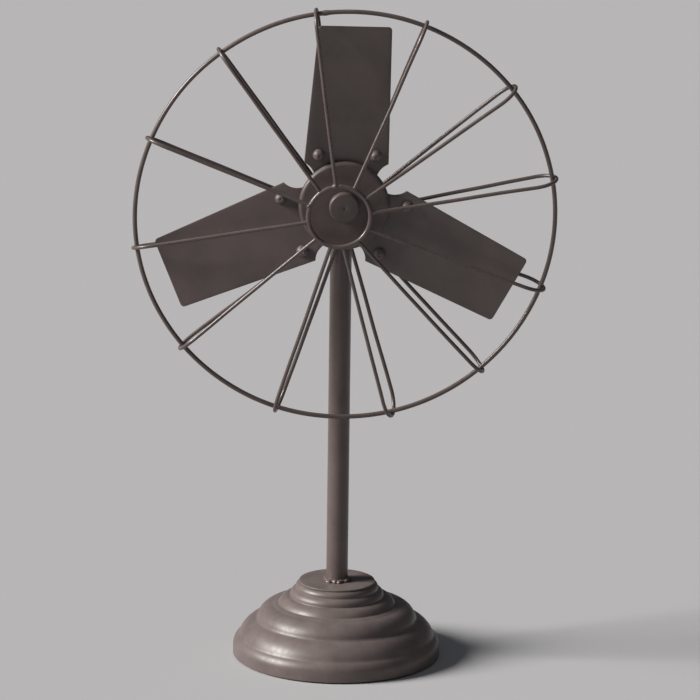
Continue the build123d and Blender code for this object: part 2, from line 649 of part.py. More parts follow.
def crank_pin():
    """Shouldered pin riveted into the arm, with a domed head that keeps the handle on."""
    neck = along_axis(CRANK_Y, CRANK_THICKNESS, PIN_NECK_RADIUS)
    shaft = along_axis(CRANK_BACK_Y, PIN_END_Y - CRANK_BACK_Y, PIN_RADIUS)
    rivet = Pos(0, CRANK_Y, AXIS_HEIGHT) * Rot(90, 0, 0)
    rivet *= domed_head(PIN_RIVET_RADIUS, PIN_RIVET_HEIGHT, FIT)
    head = Pos(0, PIN_END_Y, AXIS_HEIGHT) * Rot(-90, 0, 0)
    head *= domed_head(PIN_HEAD_RADIUS, PIN_HEAD_HEIGHT, BOLT_DIMPLE)
    return at_pin() * (neck + shaft + rivet + head)


def handle_washer():
    washer = ring_along_axis(CRANK_BACK_Y, WASHER_THICKNESS, WASHER_RADIUS, PIN_RADIUS + FIT)
    return at_pin() * washer


def crank_handle():
    """Turned grip, free to spin on the pin: a collar, a waist and a full belly."""
    bore = PIN_RADIUS + FIT
    outline = [
        Line((bore, 0), (HANDLE_END_RADIUS, 0)),
        Line((HANDLE_END_RADIUS, 0), (HANDLE_END_RADIUS, HANDLE_WAIST / 2)),
        ThreePointArc(
            (HANDLE_END_RADIUS, HANDLE_WAIST / 2),
            (HANDLE_WAIST_RADIUS, HANDLE_WAIST),
            (HANDLE_END_RADIUS, HANDLE_WAIST * 3 / 2),
        ),
        ThreePointArc(
            (HANDLE_END_RADIUS, HANDLE_WAIST * 3 / 2),
            (HANDLE_BELLY_RADIUS, (HANDLE_LENGTH + HANDLE_WAIST * 3 / 2) / 2),
            (HANDLE_END_RADIUS, HANDLE_LENGTH),
        ),
        Line((HANDLE_END_RADIUS, HANDLE_LENGTH), (bore, HANDLE_LENGTH)),
        Line((bore, HANDLE_LENGTH), (bore, 0)),
    ]
    grip = revolve(make_face(Wire(outline)), Axis.Y)
    return Pos(0, HANDLE_Y, AXIS_HEIGHT) * at_pin() * grip


# ---- All the pieces ----
def all_nodes():
    spokes = [spoke(number) for number in range(len(SPOKE_WANDER))]
    nodes = {
        "base_shell": base_shell(),
        "base_top_disc": base_top_disc(),
        "base_bottom_plate": base_bottom_plate(),
        "base_weight": base_weight(),
        "base_weight_screws": weight_screws(),
        "base_pad": base_pad(),
        "post_tube": post_tube(),
        "post_weld": post_weld(),
        "bearing_barrel": bearing_barrel(),
        "barrel_weld": barrel_weld(),
        "front_bush": bush(-BARREL_FRONT, 1),
        "rear_bush": bush(BARREL_REAR, -1),
        "cage_outer_ring": outer_ring(),
        "cage_front_ring": small_ring(FRONT_RING),
        "cage_rear_ring": small_ring(REAR_RING),
        "cage_welds": cage_welds(spokes),
        "axle": axle(),
        "spider": spider(),
        "blade_bolts": blade_bolts(),
        "blade_nuts": blade_nuts(),
        "hub_spacer": hub_spacer(),
        "hub_cap": hub_cap(),
        "hub_nub": hub_nub(),
        "shaft_collar": shaft_collar(),
        "set_screw": set_screw(),
        "front_thrust_washer": thrust_washer(WASHER_FRONT),
        "rear_thrust_washer": thrust_washer(WASHER_REAR - WASHER_THICKNESS),
        "crank_spacer": crank_spacer(),
        "crank_arm": crank_arm(),
        "crank_nut": crank_nut(),
        "crank_pin": crank_pin(),
        "handle_washer": handle_washer(),
        "crank_handle": crank_handle(),
    }
    for number, leg in enumerate(spokes, start=1):
        nodes[f"cage_spoke_{number:02d}"] = leg
    for number in range(BLADES):
        nodes[f"blade_{number + 1}"] = blade(number)
    return nodes


def main():
    os.makedirs("parts", exist_ok=True)
    for name, piece in all_nodes().items():
        solids = piece if isinstance(piece, list) else piece.solids()
        shape = Compound(children=[solid.solid() for solid in solids]) if len(solids) > 1 else solids[0]
        shape.label = name
        export_step(shape, f"parts/{name}.step")
        print(f"{name}: {len(solids)} solid(s), {sum(solid.volume for solid in solids):.1f} mm3")


main()
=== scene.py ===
import json
import math
import random

import bmesh
import bpy
from mathutils import Matrix, Vector, noise


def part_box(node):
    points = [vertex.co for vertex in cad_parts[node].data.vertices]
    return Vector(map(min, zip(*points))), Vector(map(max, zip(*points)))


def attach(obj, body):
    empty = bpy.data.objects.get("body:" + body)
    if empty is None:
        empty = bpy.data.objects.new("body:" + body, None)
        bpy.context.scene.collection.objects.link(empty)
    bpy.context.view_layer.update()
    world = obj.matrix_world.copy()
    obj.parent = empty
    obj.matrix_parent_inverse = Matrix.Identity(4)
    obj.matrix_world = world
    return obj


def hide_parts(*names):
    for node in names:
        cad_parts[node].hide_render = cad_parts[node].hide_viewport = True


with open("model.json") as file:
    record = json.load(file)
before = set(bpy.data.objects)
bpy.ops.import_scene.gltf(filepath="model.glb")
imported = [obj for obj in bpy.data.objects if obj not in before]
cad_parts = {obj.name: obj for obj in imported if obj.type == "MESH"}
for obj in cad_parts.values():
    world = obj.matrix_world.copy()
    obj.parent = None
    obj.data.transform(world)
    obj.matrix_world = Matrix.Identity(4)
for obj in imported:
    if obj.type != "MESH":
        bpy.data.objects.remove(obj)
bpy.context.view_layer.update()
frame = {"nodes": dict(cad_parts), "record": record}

# Hand crank table fan in brown-grey painted steel. Metres, +Z up, and the fan looks along
# -Y. Angles round the rotor axis run from +X up, seen from the front.

MM = 0.001
WAVER_SEED = 11
noise.seed_set(WAVER_SEED)      # so that the wire wavers the same way in every run

# ---- Camera ----
PICTURE_WIDTH = 700
SENSOR_WIDTH = 36.0
CAMERA_AZIMUTH = math.radians(-3.15)
CAMERA_ELEVATION = math.radians(16.21)
CAMERA_ROLL = math.radians(0.717)
CAMERA_DISTANCE = 12.0
CAMERA_TARGET = Vector((8.04, 0, 249.4)) * MM
PIXELS_PER_METRE = 1275.5

# ---- Base ----
TOP_DISC_RADIUS = 29.8 * MM
TOP_DISC_THICKNESS = 1.5 * MM
DISC_OVERHANG = 0.3 * MM
SHEET = 1.5 * MM
RIM_LIP = 6.0 * MM
SHADOW_GAP = 1.0 * MM
BASE_BEADS = (
    (3.1, 5.0, 1.1),
    (4.2, 6.0, 1.4),
    (9.2, 5.9, 1.7),
    (4.5, 1.3, 0.2),
    (12.4, 11.8, 3.0),
    (13.9, 13.0, 2.6),
    (4.5, 9.2, 1.4),
)
BEAD_STEPS = 14          # points along each bead
CREASE_SOFTENING = 1     # smoothing passes that round the creases between beads

SHELL_TURNS = 256
DISC_TURNS = 160
# How deep spun sheet is out of true, and over what length.
SHELL_WAVER = (0.08 * MM, 16 * MM)
DISC_WAVER = (0.06 * MM, 9 * MM)

# ---- Post and its welds: the pairs are the least and the most, in mm or degrees ----
TUBE_RADIUS = 8.5 * MM
FOOT_RUN_RADIUS = 1.7 * MM       # the run of weld metal under the lumps
FOOT_RUN_OUT = 0.3 * MM
FOOT_RUN_RISE = 0.5 * MM
FOOT_RUN_POINTS = 60
FOOT_LUMPS = 14
FOOT_LUMP_SIZES = (1.6, 2.3)
FOOT_LUMP_OUT = (0.2, 1.3)
SPATTERS = 3                     # stray lumps at the front left of the foot
SPATTER_ANGLES = (200, 280)
SPATTER_SIZES = (1.6, 2.0)
SPATTER_OUT = (1.6, 2.4)
SADDLE_LUMPS = 30
SADDLE_LUMP_SIZES = (1.3, 1.9)
SADDLE_SPREAD = 1.05             # the saddle weld stands this much wider than the post
SADDLE_SINK = 0.4 * MM
POST_WELD_VOXEL = 0.25 * MM
FOOT_SMOOTHING = 8
SADDLE_SMOOTHING = 10

# ---- Rotor ----
BLADE_PITCH = math.radians(6)
FIRST_BLADE = 87
BLADES = 3
# How far each blade's direction wanders, in degrees, and its reach in mm.
BLADE_WANDER = ((0, -3.0), (-4.7, 1.2), (4.7, 1.8))
BLADE_THICKNESS = 1.0 * MM
BLADE_ROOT = 23.0 * MM
BLADE_TIP = 146.5 * MM
BLADE_TIP_HALF = 29.0 * MM
BLADE_SHOULDER_HALF = 33.4 * MM
BLADE_CORNER = 3.0 * MM
BITE_RADIUS = 14.5 * MM
BITE_CIRCLE = 44.8 * MM
BOLT_ALONG = 42.6 * MM
BOLT_ACROSS = 22.5 * MM
BOLT_RADIUS = 2.0 * MM
BOLT_HEAD_RADIUS = 4.6 * MM
BOLT_HEAD_HEIGHT = 5.5 * MM
BOLT_DIMPLE = 0.9 * MM
BOLT_GRIP = 5.6 * MM
BLADE_COLUMNS = 20
BLADE_WAVE = 0.22 * MM
BLADE_WAVE_LENGTH = 38 * MM
BLADE_NOISE_STEP = 9             # keeps the waves of the three blades apart
BLADE_EDGE = 0.28 * MM
BOLT_TURNS = 48
BOLT_SEAT = 0.05 * MM
BOLT_ROUGHNESS = 0.14 * MM
BOLT_ROUGH_LENGTH = 2.4 * MM
AXLE_BORE = 3.05 * MM
HUB_CAP_RADIUS = 35.5 * MM
HUB_CAP_DEPTH = 4.2 * MM
HUB_CAP_WALL = 1.3 * MM
HUB_CAP_EDGE = 3.0 * MM
NUB_RADIUS = 12.0 * MM
NUB_LENGTH = 6.0 * MM
NUB_EDGE = 1.6 * MM
NUB_THREAD_DEPTH = 4.2 * MM
NUB_MARK = 1.3 * MM              # size of the turning mark in the button's middle
CAP_TURNS = 160
NUB_TURNS = 96
CAP_WAVER = (0.05 * MM, 8 * MM)
NUB_WAVER = (0.05 * MM, 6 * MM)

# ---- Cage ----
OUTER_RING_RADIUS = 164.0 * MM
OUTER_RING_WIRE = 3.6 * MM
OUTER_RING_SIDE = 1.2 * MM
OUTER_RING_DROP = 8.7 * MM
OUTER_RING_POINTS = 360
OUTER_RING_WAVER = (70 * MM, 0.35 * MM)      # over what length, and how far
RING_JOINT_ANGLE = 96
RING_JOINT_LENGTH = 2.6 * MM
RING_JOINT_SWELL = 0.34
RING_JOINT_ROUGHNESS = 0.10
RING_JOINT_GRAIN = 1.3 * MM
SMALL_RING_RADIUS = 24.35 * MM
SMALL_RING_WIRE = 3.4 * MM
FRONT_RING_SIDE = -4.5 * MM
FRONT_RING_DROP = 4.2 * MM
FRONT_JOINT_ANGLE = 92
REAR_RING_SIDE = 1.5 * MM
REAR_JOINT_ANGLE = 250
SMALL_RING_POINTS = 120
SMALL_RING_WAVER = (16 * MM, 0.12 * MM)
SMALL_JOINT_LENGTH = 3.2 * MM
SMALL_JOINT_SWELL = 0.22
SMALL_WELD_OUT = (0.5, 0.9)
SMALL_WELD_STRAY = (-1.5, 1.5)
SMALL_WELD_SIZES = (1.6, 1.9)
SMALL_WELD_BACK = 0.8 * MM
REAR_WELD_RADIUS = 2.6 * MM
RING_VOXEL = 0.3 * MM
RING_SMOOTHING = 5
PROUD_FRONT_WELDS = (0, 10)
PROUD_REAR_WELDS = (1, 4, 8)
PROUD_WELD = 1.3
SKIN = 0.16 * MM         # what the smoothing takes off a fused ring, put back
SPOKE_RADIUS = 1.5 * MM
SPOKE_GAP = 26.0 * MM
BEND_LENGTH = 17.0 * MM
WELD_GAP = 0.05 * MM
FIRST_SPOKE = 98
SPOKE_SKEW = 0.4
REAR_TWIST = 4
SPOKE_WAVER = 0.5 * MM
SPOKE_WAVER_LENGTH = 45 * MM
SPOKE_NOISE_STEP = 7             # keeps the wavers of the spokes apart
# How far each spoke's bend, its front end and the lean of its bend wander, in degrees.
SPOKE_WANDER = (
    (0.5, -1, -0.9),
    (0.2, -5, -0.8),
    (0, -3, 0),
    (2, -1, 0),
    (1, -2, 0),
    (2.8, -1, 0),
    (5.4, 0, 1.1),
    (3.6, 7, 0.7),
    (2, 7, 0),
    (1, 2, 0.65),
    (0, 0, 0.2),
    (-1.2, -1, -0.2),
)

# ---- Crank handle ----
HANDLE_LENGTH = 30.0 * MM
HANDLE_END_RADIUS = 7.0 * MM
HANDLE_BELLY_RADIUS = 10.5 * MM
HANDLE_WAIST_RADIUS = 6.4 * MM
HANDLE_WAIST = 6.0 * MM
HANDLE_COLLAR_EDGE = 0.5 * MM
HANDLE_END_EDGE = 0.8 * MM
HANDLE_GROOVES = (0.40, 0.50, 0.60)      # shares of the belly's length
HANDLE_GROOVE_DEPTH = 0.35 * MM
HANDLE_GROOVE_WIDTH = 0.013
HANDLE_TURNS = 96
WAIST_STEPS = 8
BELLY_STEPS = 48


def middle(node):
    """Middle of a CAD node's box."""
    low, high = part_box(node)
    return (low + high) / 2


# ---- Places read from the frame ----
AXIS_HEIGHT = middle("hub_cap").z
BASE_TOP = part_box("base_top_disc")[1].z
SHELL_TOP = BASE_TOP - TOP_DISC_THICKNESS
CAP_FACE_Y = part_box("hub_cap")[0].y
BLADE_Y = middle("blade_1").y
OUTER_RING_Y = middle("cage_outer_ring").y
FRONT_RING_Y = middle("cage_front_ring").y
REAR_RING_Y = middle("cage_rear_ring").y
REAR_RING_DROP = AXIS_HEIGHT - middle("cage_rear_ring").z
HANDLE_PLACE = middle("crank_handle")
FRONT_RING = (FRONT_RING_SIDE, FRONT_RING_Y, FRONT_RING_DROP)
REAR_RING = (REAR_RING_SIDE, REAR_RING_Y, REAR_RING_DROP)
OUTER_RING = (OUTER_RING_SIDE, OUTER_RING_Y, OUTER_RING_DROP)
TO_FRONT = Matrix.Rotation(math.pi / 2, 4, "X")    # +Z of a turned piece looks forwards
TO_REAR = Matrix.Rotation(-math.pi / 2, 4, "X")


# ================================ Camera, floor and light ================================
def set_camera():
    """A long lens from the front, a little to the left and above, as in the photograph."""
    back = Vector((
        math.sin(CAMERA_AZIMUTH) * math.cos(CAMERA_ELEVATION),
        -math.cos(CAMERA_AZIMUTH) * math.cos(CAMERA_ELEVATION),
        math.sin(CAMERA_ELEVATION),
    ))
    level = Vector((math.cos(CAMERA_AZIMUTH), math.sin(CAMERA_AZIMUTH), 0))
    upright = back.cross(level)
    right = level * math.cos(CAMERA_ROLL) + upright * math.sin(CAMERA_ROLL)
    up = upright * math.cos(CAMERA_ROLL) - level * math.sin(CAMERA_ROLL)
    lens = bpy.data.cameras.new("front_camera")
    lens.sensor_width = SENSOR_WIDTH
    lens.lens = SENSOR_WIDTH * PIXELS_PER_METRE * CAMERA_DISTANCE / PICTURE_WIDTH
    lens.clip_end = 10 * CAMERA_DISTANCE
    camera = bpy.data.objects.new("front_camera", lens)
    place = Matrix((right, up, back)).transposed().to_4x4()
    place.translation = CAMERA_TARGET + back * CAMERA_DISTANCE
    camera.matrix_world = place
    bpy.context.scene.collection.objects.link(camera)
    bpy.context.scene.camera = camera


FLOOR_SIZE = 120.0
FLOOR_COLOUR = (0.46, 0.46, 0.47, 1)
BACKGROUND = (0.60, 0.60, 0.61, 1)
FILL_COLOUR = (0.80, 0.86, 1.0, 1)
FILL_STRENGTH = 0.07
# Each soft lamp: azimuth from the front towards the left, height, strength, width in degrees, colour.
LAMPS = {
    "window": (82, 29, 6.2, 24, (1.0, 0.97, 0.94)),
    "room": (-30, 55, 0.15, 60, (1.0, 0.98, 0.95)),
}


def set_lamps():
    """A low soft window light from the left, and a weak one from the room."""
    for name, (azimuth, height, strength, width, colour) in LAMPS.items():
        sun = bpy.data.lights.new(name, "SUN")
        sun.energy = strength
        sun.angle = math.radians(width)
        sun.color = colour
        lamp = bpy.data.objects.new(name, sun)
        side, rise = math.radians(azimuth), math.radians(height)
        towards = Vector((
            -math.sin(side) * math.cos(rise), -math.cos(side) * math.cos(rise), math.sin(rise)
        ))
        lamp.rotation_euler = towards.to_track_quat("Z", "Y").to_euler()
        bpy.context.scene.collection.objects.link(lamp)


# ================================ Shader building ================================
def put(tree, kind, sockets=None, **settings):
    """Adds a node, sets its settings, and sets or links its input sockets."""
    node = tree.nodes.new(kind)
    for name, value in settings.items():
        setattr(node, name, value)
    for name, value in (sockets or {}).items():
        if isinstance(value, bpy.types.NodeSocket):
            tree.links.new(value, node.inputs[name])
        else:
            node.inputs[name].default_value = value
    return node


def mixed(tree, share, first, second, blend="MIX"):
    """Colour output of a mix from first to second by share."""
    node = put(tree, "ShaderNodeMix", data_type="RGBA", blend_type=blend)
    for index, value in ((0, share), (6, first), (7, second)):
        if isinstance(value, bpy.types.NodeSocket):
            tree.links.new(value, node.inputs[index])
        else:
            node.inputs[index].default_value = value
    return node.outputs[2]


def math_of(tree, operation, first, second, clamp=False):
    """Value output of one Math node."""
    node = put(tree, "ShaderNodeMath", operation=operation, use_clamp=clamp)
    for index, value in enumerate((first, second)):
        if isinstance(value, bpy.types.NodeSocket):
            tree.links.new(value, node.inputs[index])
        else:
            node.inputs[index].default_value = value
    return node.outputs[0]


def ranged(tree, value, low, high, to_low=0.0, to_high=1.0):
    """Value moved from one range to another, and held inside it."""
    node = put(tree, "ShaderNodeMapRange", {
        "Value": value, "From Min": low, "From Max": high, "To Min": to_low, "To Max": to_high,
    })
    return node.outputs[0]


def new_group(name, inputs, outputs):
    """A node group with named sockets; gives its tree and its input and output nodes."""
    tree = bpy.data.node_groups.new(name, "ShaderNodeTree")
    for socket, (kind, value) in inputs.items():
        made = tree.interface.new_socket(socket, in_out="INPUT", socket_type=kind)
        made.default_value = value
    for socket, kind in outputs.items():
        tree.interface.new_socket(socket, in_out="OUTPUT", socket_type=kind)
    return tree, tree.nodes.new("NodeGroupInput").outputs, tree.nodes.new("NodeGroupOutput")


def noise_at(tree, point, scale, detail, roughness=0.55):
    """Value of a noise texture at the point."""
    node = put(tree, "ShaderNodeTexNoise", {
        "Vector": point, "Scale": scale, "Detail": detail, "Roughness": roughness,
    })
    return node.outputs["Fac"]


def object_point(tree):
    """The shaded point in the piece's own coordinates."""
    return put(tree, "ShaderNodeTexCoord").outputs["Object"]


def build_paint_film():
    """Sprayed paint: clouds of tone, uneven gloss, fine grain and the dents of the metal."""
    tree, given, result = new_group(
        "paint_film",
        {
            "Grain Size": ("NodeSocketFloat", 0.5 * MM),
            "Dent Size": ("NodeSocketFloat", 18 * MM),
            "Grain Depth": ("NodeSocketFloat", 0.5),
        },
        {"Cloud": "NodeSocketFloat", "Gloss": "NodeSocketFloat", "Height": "NodeSocketFloat"},
    )
    point = object_point(tree)
    dent_scale = math_of(tree, "DIVIDE", 1.0, given["Dent Size"])
    grain_scale = math_of(tree, "DIVIDE", 1.0, given["Grain Size"])
    clouds = noise_at(tree, point, dent_scale, 5, 0.6)
    dents = noise_at(tree, point, dent_scale, 1, 0.4)
    grain = noise_at(tree, point, grain_scale, 3, 0.65)
    patches = noise_at(tree, point, math_of(tree, "MULTIPLY", dent_scale, 3.1), 4, 0.7)
    dent_height = math_of(tree, "MULTIPLY", dents, math_of(tree, "MULTIPLY", given["Dent Size"], 0.012))
    grain_share = math_of(tree, "MULTIPLY", given["Grain Depth"], 0.12)
    grain_rise = math_of(tree, "MULTIPLY", given["Grain Size"], grain_share)
    grain_height = math_of(tree, "MULTIPLY", grain, grain_rise)
    tree.links.new(ranged(tree, clouds, 0.32, 0.68), result.inputs["Cloud"])
    tree.links.new(ranged(tree, patches, 0.35, 0.65), result.inputs["Gloss"])
    tree.links.new(math_of(tree, "ADD", dent_height, grain_height), result.inputs["Height"])
    return tree


def build_rubbed_edges():
    """Mask of the edges where paint is rubbed thin, broken up by noise."""
    tree, given, result = new_group(
        "rubbed_edges",
        {
            "Edge Width": ("NodeSocketFloat", 0.6 * MM),
            "Break Up Size": ("NodeSocketFloat", 4 * MM),
            "Amount": ("NodeSocketFloat", 0.5),
        },
        {"Mask": "NodeSocketFloat"},
    )
    rounded = put(tree, "ShaderNodeBevel", {"Radius": given["Edge Width"]}, samples=6)
    surface = put(tree, "ShaderNodeNewGeometry")
    turn = put(tree, "ShaderNodeVectorMath", operation="DOT_PRODUCT")
    tree.links.new(rounded.outputs["Normal"], turn.inputs[0])
    tree.links.new(surface.outputs["Normal"], turn.inputs[1])
    edge = ranged(tree, turn.outputs["Value"], 0.995, 0.86)
    scale = math_of(tree, "DIVIDE", 1.0, given["Break Up Size"])
    broken = ranged(tree, noise_at(tree, object_point(tree), scale, 4, 0.7), 0.40, 0.62)
    mask = math_of(tree, "MULTIPLY", math_of(tree, "MULTIPLY", edge, broken), given["Amount"], True)
    tree.links.new(mask, result.inputs["Mask"])
    return tree


def build_settled_dust():
    """Mask of fine dust on what faces up, thicker in patches."""
    tree, given, result = new_group(
        "settled_dust",
        {
            "Patch Size": ("NodeSocketFloat", 14 * MM),
            "Amount": ("NodeSocketFloat", 0.3),
        },
        {"Mask": "NodeSocketFloat"},
    )
    surface = put(tree, "ShaderNodeNewGeometry")
    parts = put(tree, "ShaderNodeSeparateXYZ", {"Vector": surface.outputs["Normal"]})
    facing_up = ranged(tree, parts.outputs["Z"], 0.15, 1.0)
    scale = math_of(tree, "DIVIDE", 1.0, given["Patch Size"])
    patches = ranged(tree, noise_at(tree, object_point(tree), scale, 6, 0.68), 0.30, 0.70, 0.35, 1.0)
    mask = math_of(tree, "MULTIPLY", math_of(tree, "MULTIPLY", facing_up, patches), given["Amount"], True)
    tree.links.new(mask, result.inputs["Mask"])
    return tree


def build_fine_scuffs():
    """Mask of short hairline scuffs that run in all directions."""
    tree, given, result = new_group(
        "fine_scuffs",
        {
            "Length": ("NodeSocketFloat", 12 * MM),
            "Amount": ("NodeSocketFloat", 0.4),
        },
        {"Mask": "NodeSocketFloat"},
    )
    point = object_point(tree)
    scale = math_of(tree, "DIVIDE", 1.0, given["Length"])
    lines = 0.0
    for turn in (0.4, 1.5, 2.6):
        turned_point = put(tree, "ShaderNodeMapping", {
            "Vector": point, "Rotation": (turn, turn * 1.7, turn * 0.6), "Scale": (26.0, 1.0, 9.0),
        }).outputs["Vector"]
        hair = ranged(tree, noise_at(tree, turned_point, scale, 2, 0.5), 0.67, 0.74)
        lines = math_of(tree, "MAXIMUM", hair, lines)
    tree.links.new(math_of(tree, "MULTIPLY", lines, given["Amount"], True), result.inputs["Mask"])
    return tree


PAINT_FILM = build_paint_film()
RUBBED_EDGES = build_rubbed_edges()
SETTLED_DUST = build_settled_dust()
FINE_SCUFFS = build_fine_scuffs()

RUBBED_PAINT = (0.30, 0.255, 0.235, 1)
DUST_COLOUR = (0.33, 0.30, 0.285, 1)


def use_group(tree, group, **values):
    """Places a group in a material with its own values, named with underscores for spaces."""
    node = put(tree, "ShaderNodeGroup", node_tree=group)
    for name, value in values.items():
        node.inputs[name.replace("_", " ")].default_value = value
    return node.outputs


def new_material(name):
    """A material with a Principled shader; gives the material, its tree and the shader."""
    material = bpy.data.materials.new(name)
    material.use_nodes = True
    tree = material.node_tree
    return material, tree, tree.nodes["Principled BSDF"]


def bump(tree, shader, height, strength=1.0):
    """Raises the surface by a height in metres."""
    node = put(tree, "ShaderNodeBump", {"Height": height, "Strength": strength, "Distance": 1.0})
    tree.links.new(node.outputs["Normal"], shader.inputs["Normal"])


def satin_paint(name, colour, gloss=(0.36, 0.48), wear=0.5, dust=0.2, grain=0.45 * MM, dent=18 * MM):
    """Satin brown-grey paint on steel: cloudy tone, grain, rubbed edges, scuffs and dust."""
    material, tree, shader = new_material(name)
    film = use_group(tree, PAINT_FILM, Grain_Size=grain, Dent_Size=dent, Grain_Depth=0.15)
    edges = use_group(tree, RUBBED_EDGES, Edge_Width=0.5 * MM, Break_Up_Size=5 * MM, Amount=wear)
    dusty = use_group(tree, SETTLED_DUST, Patch_Size=14 * MM, Amount=dust)
    scuffs = use_group(tree, FINE_SCUFFS, Length=14 * MM, Amount=0.12)
    dark = tuple(0.86 * part for part in colour) + (1,)
    light = tuple(1.14 * part for part in colour) + (1,)
    tone = mixed(tree, film["Cloud"], dark, light)
    tone = mixed(tree, dusty["Mask"], tone, DUST_COLOUR)
    tone = mixed(tree, scuffs["Mask"], tone, RUBBED_PAINT)
    tone = mixed(tree, edges["Mask"], tone, RUBBED_PAINT)
    tree.links.new(tone, shader.inputs["Base Color"])
    rough = ranged(tree, film["Gloss"], 0.0, 1.0, *gloss)
    rough = math_of(tree, "ADD", rough, math_of(tree, "MULTIPLY", dusty["Mask"], 0.35), True)
    tree.links.new(rough, shader.inputs["Roughness"])
    shader.inputs["Specular IOR Level"].default_value = 0.5
    bump(tree, shader, film["Height"])
    return material


def bare_metal(name, colour, roughness, grain, wear=0.3):
    """Bare metal with a fine turned or cast grain and tarnish in patches."""
    material, tree, shader = new_material(name)
    film = use_group(tree, PAINT_FILM, Grain_Size=grain, Dent_Size=8 * MM, Grain_Depth=0.8)
    edges = use_group(tree, RUBBED_EDGES, Edge_Width=0.3 * MM, Break_Up_Size=3 * MM, Amount=wear)
    tarnished = tuple(0.62 * part for part in colour) + (1,)
    bright = tuple(min(1.0, 1.25 * part) for part in colour) + (1,)
    tone = mixed(tree, film["Cloud"], tarnished, tuple(colour) + (1,))
    tone = mixed(tree, edges["Mask"], tone, bright)
    tree.links.new(tone, shader.inputs["Base Color"])
    shader.inputs["Metallic"].default_value = 1.0
    rough = ranged(tree, film["Gloss"], 0.0, 1.0, roughness * 0.8, min(1.0, roughness * 1.3))
    tree.links.new(rough, shader.inputs["Roughness"])
    bump(tree, shader, film["Height"])
    return material


def cast_iron(name):
    """Rough dark casting for the weight in the base."""
    material, tree, shader = new_material(name)
    film = use_group(tree, PAINT_FILM, Grain_Size=1.1 * MM, Dent_Size=9 * MM, Grain_Depth=1.6)
    tone = mixed(tree, film["Cloud"], (0.035, 0.032, 0.030, 1), (0.085, 0.070, 0.058, 1))
    tree.links.new(tone, shader.inputs["Base Color"])
    shader.inputs["Metallic"].default_value = 0.6
    tree.links.new(ranged(tree, film["Gloss"], 0.0, 1.0, 0.55, 0.8), shader.inputs["Roughness"])
    bump(tree, shader, film["Height"])
    return material


def sheet_rubber(name):
    """Dull black rubber, a little dusty."""
    material, tree, shader = new_material(name)
    film = use_group(tree, PAINT_FILM, Grain_Size=0.35 * MM, Dent_Size=12 * MM, Grain_Depth=0.9)
    dusty = use_group(tree, SETTLED_DUST, Patch_Size=9 * MM, Amount=0.25)
    tone = mixed(tree, film["Cloud"], (0.016, 0.016, 0.016, 1), (0.028, 0.027, 0.026, 1))
    tone = mixed(tree, dusty["Mask"], tone, DUST_COLOUR)
    tree.links.new(tone, shader.inputs["Base Color"])
    tree.links.new(ranged(tree, film["Gloss"], 0.0, 1.0, 0.62, 0.85), shader.inputs["Roughness"])
    bump(tree, shader, film["Height"])
    return material


def turned_wood(name):
    """Dark stained hardwood: grain along the handle, fine pores, and lighter rubbed edges."""
    material, tree, shader = new_material(name)
    point = put(tree, "ShaderNodeMapping", {
        "Vector": object_point(tree), "Scale": (1.0, 0.09, 1.0),
    }).outputs["Vector"]
    rings = put(tree, "ShaderNodeTexWave", {
        "Vector": point, "Scale": 95.0, "Distortion": 5.5, "Detail": 3.0, "Detail Scale": 1.6,
    }, wave_type="BANDS", bands_direction="X").outputs["Fac"]
    pores = ranged(tree, noise_at(tree, point, 1900.0, 3, 0.6), 0.56, 0.68)
    edges = use_group(tree, RUBBED_EDGES, Edge_Width=0.8 * MM, Break_Up_Size=5 * MM, Amount=0.55)
    tone = mixed(tree, rings, (0.050, 0.021, 0.010, 1), (0.125, 0.058, 0.027, 1))
    tone = mixed(tree, math_of(tree, "MULTIPLY", pores, 0.75), tone, (0.018, 0.009, 0.005, 1))
    tone = mixed(tree, edges["Mask"], tone, (0.20, 0.105, 0.055, 1))
    tree.links.new(tone, shader.inputs["Base Color"])
    tree.links.new(ranged(tree, pores, 0.0, 1.0, 0.36, 0.62), shader.inputs["Roughness"])
    shader.inputs["Coat Weight"].default_value = 0.25
    shader.inputs["Coat Roughness"].default_value = 0.3
    bump(tree, shader, math_of(tree, "MULTIPLY", pores, -0.06 * MM))
    return material


FINISHES = {
    "base_paint": satin_paint("base_paint", (0.112, 0.086, 0.080), dust=0.22),
    "plate_paint": satin_paint("plate_paint", (0.105, 0.078, 0.070), gloss=(0.4, 0.6), dust=0.0),
    "post_paint": satin_paint("post_paint", (0.094, 0.070, 0.064), gloss=(0.30, 0.40), dent=26 * MM),
    "wire_paint": satin_paint("wire_paint", (0.084, 0.063, 0.058), gloss=(0.22, 0.32), wear=0.7),
    "blade_paint": satin_paint("blade_paint", (0.100, 0.077, 0.073), wear=0.8, dust=0.1, dent=34 * MM),
    "hub_paint": satin_paint("hub_paint", (0.078, 0.058, 0.053), wear=0.6),
    "fastener_paint": satin_paint("fastener_paint", (0.105, 0.082, 0.077), gloss=(0.38, 0.50), wear=1.0),
    "crank_paint": satin_paint("crank_paint", (0.105, 0.078, 0.070), wear=1.0),
    "handle_wood": turned_wood("handle_wood"),
    "axle_steel": bare_metal("axle_steel", (0.47, 0.455, 0.43), 0.26, 0.25 * MM),
    "screw_steel": bare_metal("screw_steel", (0.42, 0.41, 0.38), 0.34, 0.3 * MM),
    "bush_bronze": bare_metal("bush_bronze", (0.46, 0.30, 0.13), 0.36, 0.35 * MM),
    "weight_iron": cast_iron("weight_iron"),
    "pad_rubber": sheet_rubber("pad_rubber"),
}


